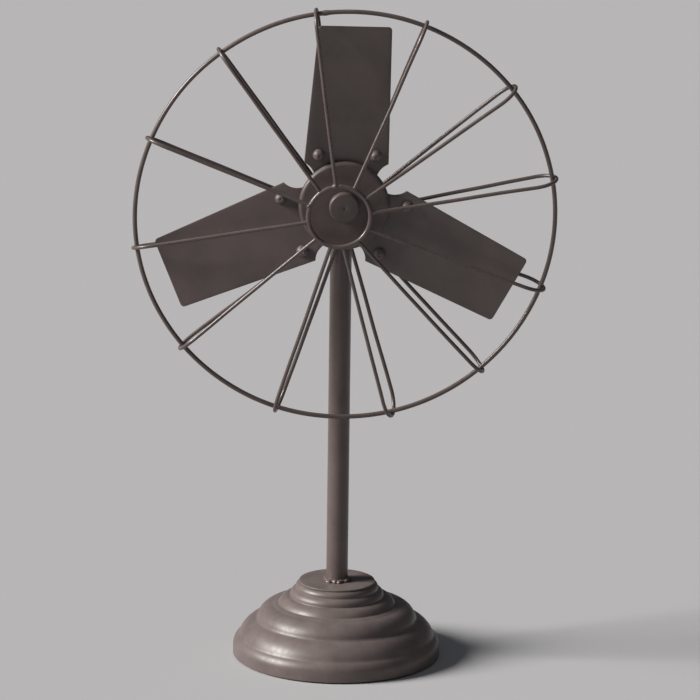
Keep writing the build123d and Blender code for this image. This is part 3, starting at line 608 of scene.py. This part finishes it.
# ================================ Floor and world ================================
def set_world():
    """Pale all round where it is seen, and a dim cool fill for the rest."""
    world = bpy.data.worlds.new("studio")
    world.use_nodes = True
    bpy.context.scene.world = world
    tree = world.node_tree
    tree.nodes.clear()
    seen = put(tree, "ShaderNodeLightPath").outputs["Is Camera Ray"]
    pale = put(tree, "ShaderNodeBackground", {"Color": BACKGROUND, "Strength": 1.0})
    fill = put(tree, "ShaderNodeBackground", {"Color": FILL_COLOUR, "Strength": FILL_STRENGTH})
    choice = put(tree, "ShaderNodeMixShader", {"Fac": seen})
    tree.links.new(fill.outputs[0], choice.inputs[1])
    tree.links.new(pale.outputs[0], choice.inputs[2])
    put(tree, "ShaderNodeOutputWorld", {"Surface": choice.outputs[0]})


def make_floor():
    """A wide pale floor with a faint mottle."""
    half = FLOOR_SIZE / 2
    mesh = bpy.data.meshes.new("floor")
    corners = [(-half, -half, 0), (half, -half, 0), (half, half, 0), (-half, half, 0)]
    mesh.from_pydata(corners, [], [(0, 1, 2, 3)])
    floor = bpy.data.objects.new("floor", mesh)
    bpy.context.scene.collection.objects.link(floor)
    material, tree, shader = new_material("pale_floor")
    mottle = noise_at(tree, object_point(tree), 1.5, 4)
    shade = tuple(0.97 * part for part in FLOOR_COLOUR[:3]) + (1,)
    tree.links.new(mixed(tree, mottle, shade, FLOOR_COLOUR), shader.inputs["Base Color"])
    shader.inputs["Roughness"].default_value = 0.9
    shader.inputs["Specular IOR Level"].default_value = 0.1
    mesh.materials.append(material)


# ================================ Mesh building ================================
def show(name, mesh, body, slot, *nodes):
    """Makes one piece of the fan from a mesh: its finish, its body, and the nodes it stands for."""
    mesh.name = name
    mesh.materials.clear()
    mesh.materials.append(FINISHES[slot])
    piece = bpy.data.objects.new(name, mesh)
    bpy.context.scene.collection.objects.link(piece)
    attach(piece, body)
    if nodes:
        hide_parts(*nodes)
    return piece


def mesh_from(bm, sharp=35):
    """Turns a bmesh into a smooth mesh whose hard edges stay sharp."""
    bmesh.ops.recalc_face_normals(bm, faces=bm.faces)
    mesh = bpy.data.meshes.new("piece")
    bm.to_mesh(mesh)
    bm.free()
    mesh.shade_smooth()
    mesh.set_sharp_from_angle(angle=math.radians(sharp))
    return mesh


def lathe(profile, turns=128, closed=False, place=None, sharp=35):
    """A turned piece about Z from (radius, height) points. A closed profile joins its ends."""
    bm = bmesh.new()
    rings = []
    for radius, height in profile:
        steps = 1 if radius < 1e-7 else turns
        rings.append([
            bm.verts.new((
                radius * math.cos(math.tau * step / turns),
                radius * math.sin(math.tau * step / turns),
                height,
            ))
            for step in range(steps)
        ])
    followers = rings[1:] + rings[:1] if closed else rings[1:]
    for ring, following in zip(rings, followers):
        for step in range(turns):
            corners = [
                ring[step % len(ring)],
                ring[(step + 1) % len(ring)],
                following[(step + 1) % len(following)],
                following[step % len(following)],
            ]
            corners = list(dict.fromkeys(corners))
            if len(corners) > 2:
                bm.faces.new(corners)
    mesh = mesh_from(bm, sharp)
    if place is not None:
        mesh.transform(place)
    return mesh


def quarter(centre_r, centre_z, radius, start, end, steps=6):
    """Points of an arc of a profile; angles in degrees, 0 outwards and 90 up."""
    return [
        (
            centre_r + radius * math.cos(math.radians(start + (end - start) * step / steps)),
            centre_z + radius * math.sin(math.radians(start + (end - start) * step / steps)),
        )
        for step in range(steps + 1)
    ]


def tube(points, radius, closed=False, sides=18, swell=None):
    """A wire along the points. swell(number) gives a factor on its radius at each point."""
    bm = bmesh.new()
    count = len(points)
    rings = []
    side = None
    for number, point in enumerate(points):
        before = points[number - 1] if closed or number else point
        after = points[(number + 1) % count] if closed or number < count - 1 else point
        along = (after - before).normalized()
        if side is None:
            side = along.orthogonal().normalized()
        side = (side - along * side.dot(along)).normalized()
        other = along.cross(side)
        here = radius * (swell(number) if swell else 1.0)
        rings.append([
            bm.verts.new(
                point
                + side * (here * math.cos(math.tau * step / sides))
                + other * (here * math.sin(math.tau * step / sides))
            )
            for step in range(sides)
        ])
    pairs = list(zip(rings, rings[1:]))
    if closed:
        pairs.append((rings[-1], best_turn(rings[-1], rings[0])))
    else:
        bm.faces.new(rings[0])
        bm.faces.new(rings[-1])
    for ring, following in pairs:
        for step in range(sides):
            far = (step + 1) % sides
            bm.faces.new([ring[step], ring[far], following[far], following[step]])
    return mesh_from(bm)


def best_turn(ring, following):
    """The following ring, started at the vertex nearest to the ring's first one."""
    start = min(range(len(following)), key=lambda k: (following[k].co - ring[0].co).length)
    return following[start:] + following[:start]


def ring_point(side, y, drop, radius, angle):
    """A point on a ring that is off the axis by side and drop; the angle runs from +X up."""
    return Vector((
        side + radius * math.cos(math.radians(angle)),
        y,
        AXIS_HEIGHT - drop + radius * math.sin(math.radians(angle)),
    ))


def wavered(point, size, reach):
    """The point moved a little by smooth noise, as hand-bent wire wanders."""
    return point + reach * noise.noise_vector(point / size)


def lump(centre, radius, flatten=1.0, facing=None):
    """A rough ball of weld metal, flattened along facing."""
    bm = bmesh.new()
    bmesh.ops.create_icosphere(bm, subdivisions=3, radius=radius)
    for vertex in bm.verts:
        place = centre + vertex.co
        vertex.co *= 1 + 0.22 * noise.noise(place / (1.1 * radius))
    if facing is not None:
        turn = facing.to_track_quat("Z", "Y").to_matrix().to_4x4()
        bm.transform(turn @ Matrix.Diagonal((1, 1, flatten, 1)))
    bm.transform(Matrix.Translation(centre))
    return mesh_from(bm)


def fused(meshes, voxel, smoothing, swelling=0.0):
    """One closed skin over several meshes, as thick paint and weld metal run together."""
    bm = bmesh.new()
    for mesh in meshes:
        bm.from_mesh(mesh)
        bpy.data.meshes.remove(mesh)
    joined = bpy.data.meshes.new("joined")
    bm.to_mesh(joined)
    bm.free()
    holder = bpy.data.objects.new("joined", joined)
    bpy.context.scene.collection.objects.link(holder)
    remesh = holder.modifiers.new("skin", "REMESH")
    remesh.mode = "VOXEL"
    remesh.voxel_size = voxel
    remesh.use_smooth_shade = True
    smooth = holder.modifiers.new("flow", "SMOOTH")
    smooth.factor = 0.5
    smooth.iterations = smoothing
    graph = bpy.context.evaluated_depsgraph_get()
    skin = bpy.data.meshes.new_from_object(holder.evaluated_get(graph))
    bpy.data.objects.remove(holder)
    bpy.data.meshes.remove(joined)
    skin.shade_smooth()
    normals = [vertex.normal.copy() for vertex in skin.vertices]
    for vertex, normal in zip(skin.vertices, normals):
        vertex.co += normal * swelling
    return skin


# ================================ Base and post ================================
def bead_line(inset):
    """Profile points of the beads from the top down, moved inwards by inset."""
    radius = TOP_DISC_RADIUS - DISC_OVERHANG
    height = SHELL_TOP
    corners = [(radius, height)]
    for width, drop, _ in BASE_BEADS:
        radius += width * MM
        height -= drop * MM
        corners.append((radius, height))
    lean = inset / math.sqrt(2)
    moved = [Vector((r - lean, z - lean)) for r, z in corners]
    moved[0] = Vector((corners[0][0], corners[0][1] - inset))
    moved[-1] = Vector((corners[-1][0] - inset, corners[-1][1]))
    line = [moved[0]]
    for start, end, (_, _, bulge) in zip(moved, moved[1:], BASE_BEADS):
        line += bulged(start, end, bulge * MM)
    for _ in range(CREASE_SOFTENING):
        inner = [(a + 2 * b + c) / 4 for a, b, c in zip(line, line[1:], line[2:])]
        line = [line[0], *inner, line[-1]]
    return [tuple(point) for point in line]


def bulged(start, end, bulge):
    """Points of an arc from start to end that stands out by bulge; start is left out."""
    chord = end - start
    along = chord.normalized()
    out = Vector((-along.y, along.x))
    radius = (chord.length_squared / 4 + bulge**2) / (2 * bulge)
    centre = (start + end) / 2 - out * (radius - bulge)
    half = math.asin(chord.length / (2 * radius))
    turns = [half * (2 * step / BEAD_STEPS - 1) for step in range(1, BEAD_STEPS + 1)]
    return [centre + out * (radius * math.cos(a)) + along * (radius * math.sin(a)) for a in turns]


def dented(mesh, reach, size):
    """Sinks the vertices unevenly along their normals, as hand-spun sheet is never true."""
    normals = [vertex.normal.copy() for vertex in mesh.vertices]
    for vertex, normal in zip(mesh.vertices, normals):
        vertex.co -= normal * (reach * (1 + noise.noise(vertex.co / size)))
    return mesh


def make_base():
    """Spun base dome with its turned-in lip, and the flat disc under the post."""
    outer = bead_line(0)
    inner = bead_line(SHEET)
    rim, inner_rim = outer[-1][0], inner[-1][0]
    foot = [
        *quarter(rim - SHEET / 2, SHADOW_GAP + SHEET / 2, SHEET / 2, 0, -90),
        (rim - RIM_LIP, SHADOW_GAP),
        (rim - RIM_LIP, SHADOW_GAP + SHEET),
        (inner_rim, SHADOW_GAP + SHEET),
    ]
    top = [(TUBE_RADIUS, inner[0][1]), (TUBE_RADIUS, outer[0][1])]
    shell = lathe([*outer, *foot, *reversed(inner), *top], SHELL_TURNS, closed=True)
    show("base_dome", dented(shell, *SHELL_WAVER), "stand", "base_paint", "base_shell")
    edge = TOP_DISC_THICKNESS / 3
    disc = [
        (0, SHELL_TOP),
        *quarter(TOP_DISC_RADIUS - edge, SHELL_TOP + edge, edge, -90, 0, 3),
        *quarter(TOP_DISC_RADIUS - edge, BASE_TOP - edge, edge, 0, 90, 5),
        (0.8 * TOP_DISC_RADIUS, BASE_TOP),
        (0.5 * TOP_DISC_RADIUS, BASE_TOP),
        (0, BASE_TOP),
    ]
    plate = dented(lathe(disc, DISC_TURNS), *DISC_WAVER)
    show("post_plate", plate, "stand", "base_paint", "base_top_disc")


def make_post_welds():
    """Ragged bead round the foot of the post, and the saddle weld under the barrel."""
    chance = random.Random(11)
    show("post_foot_bead", foot_bead(chance), "stand", "post_paint", "post_weld")
    show("barrel_bead", saddle_bead(chance), "stand", "post_paint", "barrel_weld")


def foot_bead(chance):
    """An even run of weld metal round the post, lumps over it, and a few spatters."""
    run = []
    for step in range(FOOT_RUN_POINTS):
        turn = math.tau * step / FOOT_RUN_POINTS
        out = Vector((math.cos(turn), math.sin(turn), 0)) * (TUBE_RADIUS + FOOT_RUN_OUT)
        run.append(out + Vector((0, 0, BASE_TOP + FOOT_RUN_RISE)))
    lumps = [tube(run, FOOT_RUN_RADIUS, closed=True)]
    for number in range(FOOT_LUMPS):
        turn = math.tau * (number + chance.uniform(-0.3, 0.3)) / FOOT_LUMPS
        size = chance.uniform(*FOOT_LUMP_SIZES) * MM
        out = TUBE_RADIUS + chance.uniform(*FOOT_LUMP_OUT) * MM
        lumps.append(lump(on_disc(out, turn, 0.3 * size), size))
    for number in range(SPATTERS):
        turn = math.radians(chance.uniform(*SPATTER_ANGLES))
        size = chance.uniform(*SPATTER_SIZES) * MM
        out = TUBE_RADIUS + chance.uniform(*SPATTER_OUT) * MM
        lumps.append(lump(on_disc(out, turn, 0.1 * size), size))
    return fused(lumps, POST_WELD_VOXEL, FOOT_SMOOTHING)


def on_disc(out, turn, rise):
    """A point round the post, a little above the base disc."""
    return Vector((out * math.cos(turn), out * math.sin(turn), BASE_TOP + rise))


def saddle_bead(chance):
    """Lumps of weld along the saddle line, where the post meets the barrel."""
    lumps = []
    for number in range(SADDLE_LUMPS):
        turn = math.tau * number / SADDLE_LUMPS
        size = chance.uniform(*SADDLE_LUMP_SIZES) * MM
        x, y = TUBE_RADIUS * math.cos(turn), TUBE_RADIUS * math.sin(turn)
        fall = math.sqrt(max(0.0, TUBE_RADIUS**2 - x**2))
        centre = Vector((SADDLE_SPREAD * x, SADDLE_SPREAD * y, AXIS_HEIGHT - fall - SADDLE_SINK))
        lumps.append(lump(centre, size))
    return fused(lumps, POST_WELD_VOXEL, SADDLE_SMOOTHING)


# ================================ Cage ================================
def spoke_angles(number):
    """Angles of a spoke's bend, its front end and its rear end, and the lean of its bend."""
    bend, front, lean = SPOKE_WANDER[number]
    even = FIRST_SPOKE - number * 360 / len(SPOKE_WANDER)
    return even + bend, even + front, even + front + REAR_TWIST, SPOKE_SKEW + lean


def half_bend(end, corner, tip, steps=14):
    """Points of a leg and of its half of the bend: straight, then a quarter of an ellipse."""
    start = corner + (end - corner).normalized() * BEND_LENGTH
    points = [end, *straight(end, start, 3 * MM)]
    for step in range(1, steps + 1):
        turn = math.pi / 2 * step / steps
        points.append(start + (tip - corner) * (1 - math.cos(turn)) + (corner - start) * math.sin(turn))
    return points


def straight(start, end, step):
    """Points from start to end without the start."""
    count = max(1, round((end - start).length / step))
    return [start.lerp(end, number / count) for number in range(1, count + 1)]


def make_spokes():
    """Twelve hairpins of wire, each bent round the outer ring by hand."""
    reach = OUTER_RING_RADIUS + OUTER_RING_WIRE / 2 + WELD_GAP + SPOKE_RADIUS
    for number in range(len(SPOKE_WANDER)):
        bend, front, rear, lean = spoke_angles(number)
        corners = [
            ring_point(
                OUTER_RING_SIDE, OUTER_RING_Y + side * SPOKE_GAP / 2, OUTER_RING_DROP, reach,
                bend + side * lean,
            )
            for side in (-1, 1)
        ]
        ends = [
            ring_point(*FRONT_RING, SMALL_RING_RADIUS, front),
            ring_point(*REAR_RING, SMALL_RING_RADIUS, rear),
        ]
        tip = (corners[0] + corners[1]) / 2
        path = half_bend(ends[0], corners[0], tip)
        path += reversed(half_bend(ends[1], corners[1], tip)[:-1])
        bent = []
        for place, point in enumerate(path):
            share = math.sin(math.tau * place / (len(path) - 1))
            away = Vector((SPOKE_NOISE_STEP * number, 0, 0))
            nudge = noise.noise_vector(point / SPOKE_WAVER_LENGTH + away)
            bent.append(point + nudge * (SPOKE_WAVER * share))
        name = f"spoke_{number + 1:02d}"
        show(name, tube(bent, SPOKE_RADIUS), "stand", "wire_paint", f"cage_{name}")


def make_outer_ring():
    """The large ring, a little out of true, with the lump of its butt weld."""
    count = OUTER_RING_POINTS
    points = []
    for number in range(count):
        point = ring_point(*OUTER_RING, OUTER_RING_RADIUS, 360 * number / count)
        points.append(wavered(point, *OUTER_RING_WAVER))

    def swell(number):
        away = 360 * number / count - RING_JOINT_ANGLE
        along = math.radians(away) * OUTER_RING_RADIUS
        rough = RING_JOINT_ROUGHNESS * noise.noise(points[number] / RING_JOINT_GRAIN)
        return 1 + (RING_JOINT_SWELL + rough) * math.exp(-((along / RING_JOINT_LENGTH) ** 4))

    ring = tube(points, OUTER_RING_WIRE / 2, closed=True, swell=swell)
    show("guard_ring", ring, "stand", "wire_paint", "cage_outer_ring")


def small_ring_tube(place, joint_angle):
    """A small ring of wire with the raised seam of its joint."""
    count = SMALL_RING_POINTS
    points = [ring_point(*place, SMALL_RING_RADIUS, 360 * number / count) for number in range(count)]
    points = [wavered(point, *SMALL_RING_WAVER) for point in points]

    def swell(number):
        away = math.radians(360 * number / count - joint_angle) * SMALL_RING_RADIUS
        return 1 + SMALL_JOINT_SWELL * math.exp(-((away / SMALL_JOINT_LENGTH) ** 4))

    return tube(points, SMALL_RING_WIRE / 2, closed=True, swell=swell)


def small_ring_welds(place, angles, back, proud, chance):
    """A dab of weld metal where each spoke meets the ring, a little to the side that back
    points to; those in proud are larger and stay in the ring's plane."""
    dabs = []
    for number, angle in enumerate(angles):
        out = SMALL_RING_RADIUS + chance.uniform(*SMALL_WELD_OUT) * MM
        centre = ring_point(*place, out, angle + chance.uniform(*SMALL_WELD_STRAY))
        size = chance.uniform(*SMALL_WELD_SIZES) * MM
        if number in proud:
            size *= PROUD_WELD
        else:
            centre += Vector((0, back * SMALL_WELD_BACK, 0))
        dabs.append(lump(centre, size))
    return dabs


def make_small_rings():
    """Front and rear ring of the cage, each fused with the welds of its spokes."""
    chance = random.Random(5)
    spokes = [spoke_angles(number) for number in range(len(SPOKE_WANDER))]
    parts = [small_ring_tube(FRONT_RING, FRONT_JOINT_ANGLE)]
    fronts = [front for _, front, _, _ in spokes]
    parts += small_ring_welds(FRONT_RING, fronts, 1, PROUD_FRONT_WELDS, chance)
    skin = fused(parts, RING_VOXEL, RING_SMOOTHING, SKIN)
    show("front_ring", skin, "stand", "wire_paint", "cage_front_ring")
    parts = [small_ring_tube(REAR_RING, REAR_JOINT_ANGLE)]
    rears = [rear for _, _, rear, _ in spokes]
    parts += small_ring_welds(REAR_RING, rears, -1, PROUD_REAR_WELDS, chance)
    over = ring_point(*REAR_RING, SMALL_RING_RADIUS - SMALL_RING_WIRE / 2, 90)
    under = ring_point(*REAR_RING, SMALL_RING_RADIUS, 270) + Vector((0, SMALL_RING_WIRE / 2, 0))
    parts += [lump(over, REAR_WELD_RADIUS), lump(under, REAR_WELD_RADIUS)]
    skin = fused(parts, RING_VOXEL, RING_SMOOTHING, SKIN)
    show("rear_ring", skin, "stand", "wire_paint", "cage_rear_ring", "cage_welds")


# ================================ Rotor ================================
def blade_matrix(number):
    """Frame of one blade: X out along it, Y across it, Z towards the viewer."""
    wander, reach = BLADE_WANDER[number]
    turn = math.radians(FIRST_BLADE + number * 360 / BLADES + wander)
    out = Vector((math.cos(turn), 0, math.sin(turn)))
    face = Vector((
        math.sin(turn) * math.sin(BLADE_PITCH),
        -math.cos(BLADE_PITCH),
        -math.cos(turn) * math.sin(BLADE_PITCH),
    ))
    across = face.cross(out)
    place = Matrix((out, across, face)).transposed().to_4x4()
    place.translation = Vector((0, BLADE_Y, AXIS_HEIGHT)) + out * (reach * MM)
    return place


def blade_rows():
    """Places along a blade with its half width there: bite, straight taper, rounded corner."""
    half_step = math.radians(180 / BLADES)
    bite_x, bite_y = BITE_CIRCLE * math.cos(half_step), BITE_CIRCLE * math.sin(half_step)
    shoulder = bite_x + math.sqrt(BITE_RADIUS**2 - (bite_y - BLADE_SHOULDER_HALF) ** 2)
    corner = BLADE_TIP - BLADE_CORNER
    slope = (BLADE_TIP_HALF - BLADE_SHOULDER_HALF) / (BLADE_TIP - shoulder)
    rows = []
    bite_steps, side_steps, corner_steps = 14, 36, 6
    for step in range(bite_steps):
        x = BLADE_ROOT + (shoulder - BLADE_ROOT) * step / bite_steps
        rows.append((x, bite_y - math.sqrt(BITE_RADIUS**2 - (x - bite_x) ** 2)))
    for step in range(side_steps + 1):
        x = shoulder + (corner - shoulder) * step / side_steps
        rows.append((x, BLADE_SHOULDER_HALF + slope * (x - shoulder)))
    corner_half = rows[-1][1] - BLADE_CORNER
    for step in range(1, corner_steps + 1):
        turn = math.pi / 2 * step / corner_steps
        rows.append((corner + BLADE_CORNER * math.sin(turn), corner_half + BLADE_CORNER * math.cos(turn)))
    return rows


def blade_mesh(number):
    """Flat blade of sheet, a little uneven, with its cut edges rounded by paint."""
    bm = bmesh.new()
    columns = BLADE_COLUMNS
    rows = blade_rows()
    away = Vector((BLADE_NOISE_STEP * number, 0, 0))
    layers = []
    for side in (1, -1):
        layer = []
        for x, half in rows:
            line = []
            for column in range(columns + 1):
                y = half * (2 * column / columns - 1)
                wave = BLADE_WAVE * noise.noise(Vector((x, y, 0)) / BLADE_WAVE_LENGTH + away)
                line.append(bm.verts.new((x, y, wave + side * BLADE_THICKNESS / 2)))
            layer.append(line)
        layers.append(layer)
        for low, high in zip(layer, layer[1:]):
            for k in range(columns):
                bm.faces.new([low[k], low[k + 1], high[k + 1], high[k]])
    front, back = layers
    rim = [(n, 0) for n in range(len(rows))] + [(len(rows) - 1, k) for k in range(1, columns + 1)]
    rim += [(n, columns) for n in reversed(range(len(rows) - 1))]
    rim += [(0, k) for k in reversed(range(1, columns))]
    for (row, k), (next_row, next_k) in zip(rim, rim[1:] + rim[:1]):
        bm.faces.new([front[row][k], front[next_row][next_k], back[next_row][next_k], back[row][k]])
    bmesh.ops.recalc_face_normals(bm, faces=bm.faces)
    edges = [edge for edge in bm.edges if edge.calc_face_angle(0) > math.radians(50)]
    bmesh.ops.bevel(bm, geom=edges, offset=BLADE_EDGE, segments=3, profile=0.5, affect="EDGES")
    mesh = mesh_from(bm, 50)
    mesh.transform(blade_matrix(number))
    return mesh


def bolt_mesh(place):
    """Round-headed bolt: a tall dome with a small dimple filled by paint, and its shank."""
    ball = (BOLT_HEAD_RADIUS**2 + BOLT_HEAD_HEIGHT**2) / (2 * BOLT_HEAD_HEIGHT)
    centre = BOLT_HEAD_HEIGHT - ball
    rim = math.degrees(math.asin(-centre / ball))
    profile = [
        (0, -BOLT_GRIP),
        (BOLT_RADIUS, -BOLT_GRIP),
        (BOLT_RADIUS, -BOLT_SEAT),
        (BOLT_HEAD_RADIUS, -BOLT_SEAT),
    ]
    profile += quarter(0, centre, ball, rim, 89.9, 22)[:-1] + [(0, BOLT_HEAD_HEIGHT)]
    mesh = lathe(profile, BOLT_TURNS)
    normals = [vertex.normal.copy() for vertex in mesh.vertices]
    for vertex, normal in zip(mesh.vertices, normals):
        if vertex.co.z <= 0:
            continue
        out = vertex.co.xy.length / (1.1 * BOLT_DIMPLE)
        vertex.co.z -= BOLT_DIMPLE * math.exp(-(out**2))
        spot = (place.translation + vertex.co) / BOLT_ROUGH_LENGTH
        vertex.co += normal * (BOLT_ROUGHNESS * noise.noise(spot))
    mesh.transform(place)
    return mesh


def joined(meshes):
    """Several meshes as one, each kept as it is."""
    bm = bmesh.new()
    for mesh in meshes:
        bm.from_mesh(mesh)
        bpy.data.meshes.remove(mesh)
    return mesh_from(bm, 40)


def make_rotor():
    """Three blades with two bolts each, and the hub in front of them."""
    bolts = []
    for number in range(BLADES):
        blade = blade_mesh(number)
        show(f"fan_blade_{number + 1}", blade, "rotor", "blade_paint", f"blade_{number + 1}")
        for side in (-1, 1):
            seat = Matrix.Translation((BOLT_ALONG, side * BOLT_ACROSS, BLADE_THICKNESS / 2))
            bolts.append(bolt_mesh(blade_matrix(number) @ seat))
    show("blade_bolt_set", joined(bolts), "rotor", "fastener_paint", "blade_bolts")
    make_hub()


def make_hub():
    """Pressed hub cap with a rounded edge, and the cap nut in its middle."""
    skirt, wall, edge = HUB_CAP_DEPTH, HUB_CAP_WALL, HUB_CAP_EDGE
    inner_edge = edge - wall
    cap = [
        (AXLE_BORE, 0),
        (NUB_RADIUS, 0),
        (0.6 * HUB_CAP_RADIUS, 0),
        *quarter(HUB_CAP_RADIUS - edge, -edge, edge, 90, 0, 10),
        (HUB_CAP_RADIUS, -skirt),
        (HUB_CAP_RADIUS - wall, -skirt),
        *quarter(HUB_CAP_RADIUS - wall - inner_edge, -wall - inner_edge, inner_edge, 0, 90, 4),
        (AXLE_BORE, -wall),
    ]
    place = Matrix.Translation((0, CAP_FACE_Y, AXIS_HEIGHT)) @ TO_FRONT
    cup = dented(lathe(cap, CAP_TURNS, closed=True, place=place), *CAP_WAVER)
    show("hub_cover", cup, "rotor", "hub_paint", "hub_cap")
    mark = NUB_MARK
    nut = [
        (0, NUB_THREAD_DEPTH),
        (AXLE_BORE, NUB_THREAD_DEPTH),
        (AXLE_BORE, 0),
        (NUB_RADIUS, 0),
        *quarter(NUB_RADIUS - NUB_EDGE, NUB_LENGTH - NUB_EDGE, NUB_EDGE, 0, 90, 10),
        (0.5 * NUB_RADIUS, NUB_LENGTH),
        (1.4 * mark, NUB_LENGTH),
        (0.9 * mark, NUB_LENGTH - 0.12 * mark),
        (0.45 * mark, NUB_LENGTH - 0.4 * mark),
        (0, NUB_LENGTH - 0.5 * mark),
    ]
    button = dented(lathe(nut, NUB_TURNS, place=place), *NUB_WAVER)
    show("hub_button", button, "rotor", "hub_paint", "hub_nub")


# ================================ Crank handle ================================
def make_handle():
    """Turned hardwood grip: a collar, a waist, a full belly and three fine grooves."""
    bore = AXLE_BORE
    neck, end = HANDLE_END_RADIUS, HANDLE_LENGTH
    belly_start = 1.5 * HANDLE_WAIST
    collar_edge, end_edge = HANDLE_COLLAR_EDGE, HANDLE_END_EDGE
    profile = [(bore, 0), *quarter(neck - collar_edge, collar_edge, collar_edge, -90, 0, 4)]
    for step in range(WAIST_STEPS + 1):
        share = step / WAIST_STEPS
        dip = (neck - HANDLE_WAIST_RADIUS) * math.sin(math.pi * share)
        profile.append((neck - dip, HANDLE_WAIST / 2 + (belly_start - HANDLE_WAIST / 2) * share))
    for step in range(1, BELLY_STEPS):
        share = step / BELLY_STEPS
        height = belly_start + (end - belly_start) * share
        radius = neck + (HANDLE_BELLY_RADIUS - neck) * math.sin(math.pi * share)
        for groove in HANDLE_GROOVES:
            away = (share - groove) / HANDLE_GROOVE_WIDTH
            radius -= HANDLE_GROOVE_DEPTH * math.exp(-(away**2))
        profile.append((radius, height))
    profile += [*quarter(neck - end_edge, end - end_edge, end_edge, 0, 90, 5), (bore, end)]
    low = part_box("crank_handle")[0].y
    place = Matrix.Translation((HANDLE_PLACE.x, low, HANDLE_PLACE.z)) @ TO_REAR
    grip = lathe(profile, HANDLE_TURNS, closed=True, place=place)
    show("handle_grip", grip, "handle", "handle_wood", "crank_handle")


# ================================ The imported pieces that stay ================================
def finish_packed_pieces():
    """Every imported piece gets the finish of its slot."""
    for part in frame["record"]["subparts"]:
        mesh = frame["nodes"][part["node"]].data
        mesh.materials.clear()
        mesh.materials.append(FINISHES[part["material_slot"]])


set_camera()
set_lamps()
set_world()
make_floor()
finish_packed_pieces()
make_base()
make_post_welds()
make_spokes()
make_outer_ring()
make_small_rings()
make_rotor()
make_handle()

bpy.context.scene.view_settings.view_transform = "Standard"
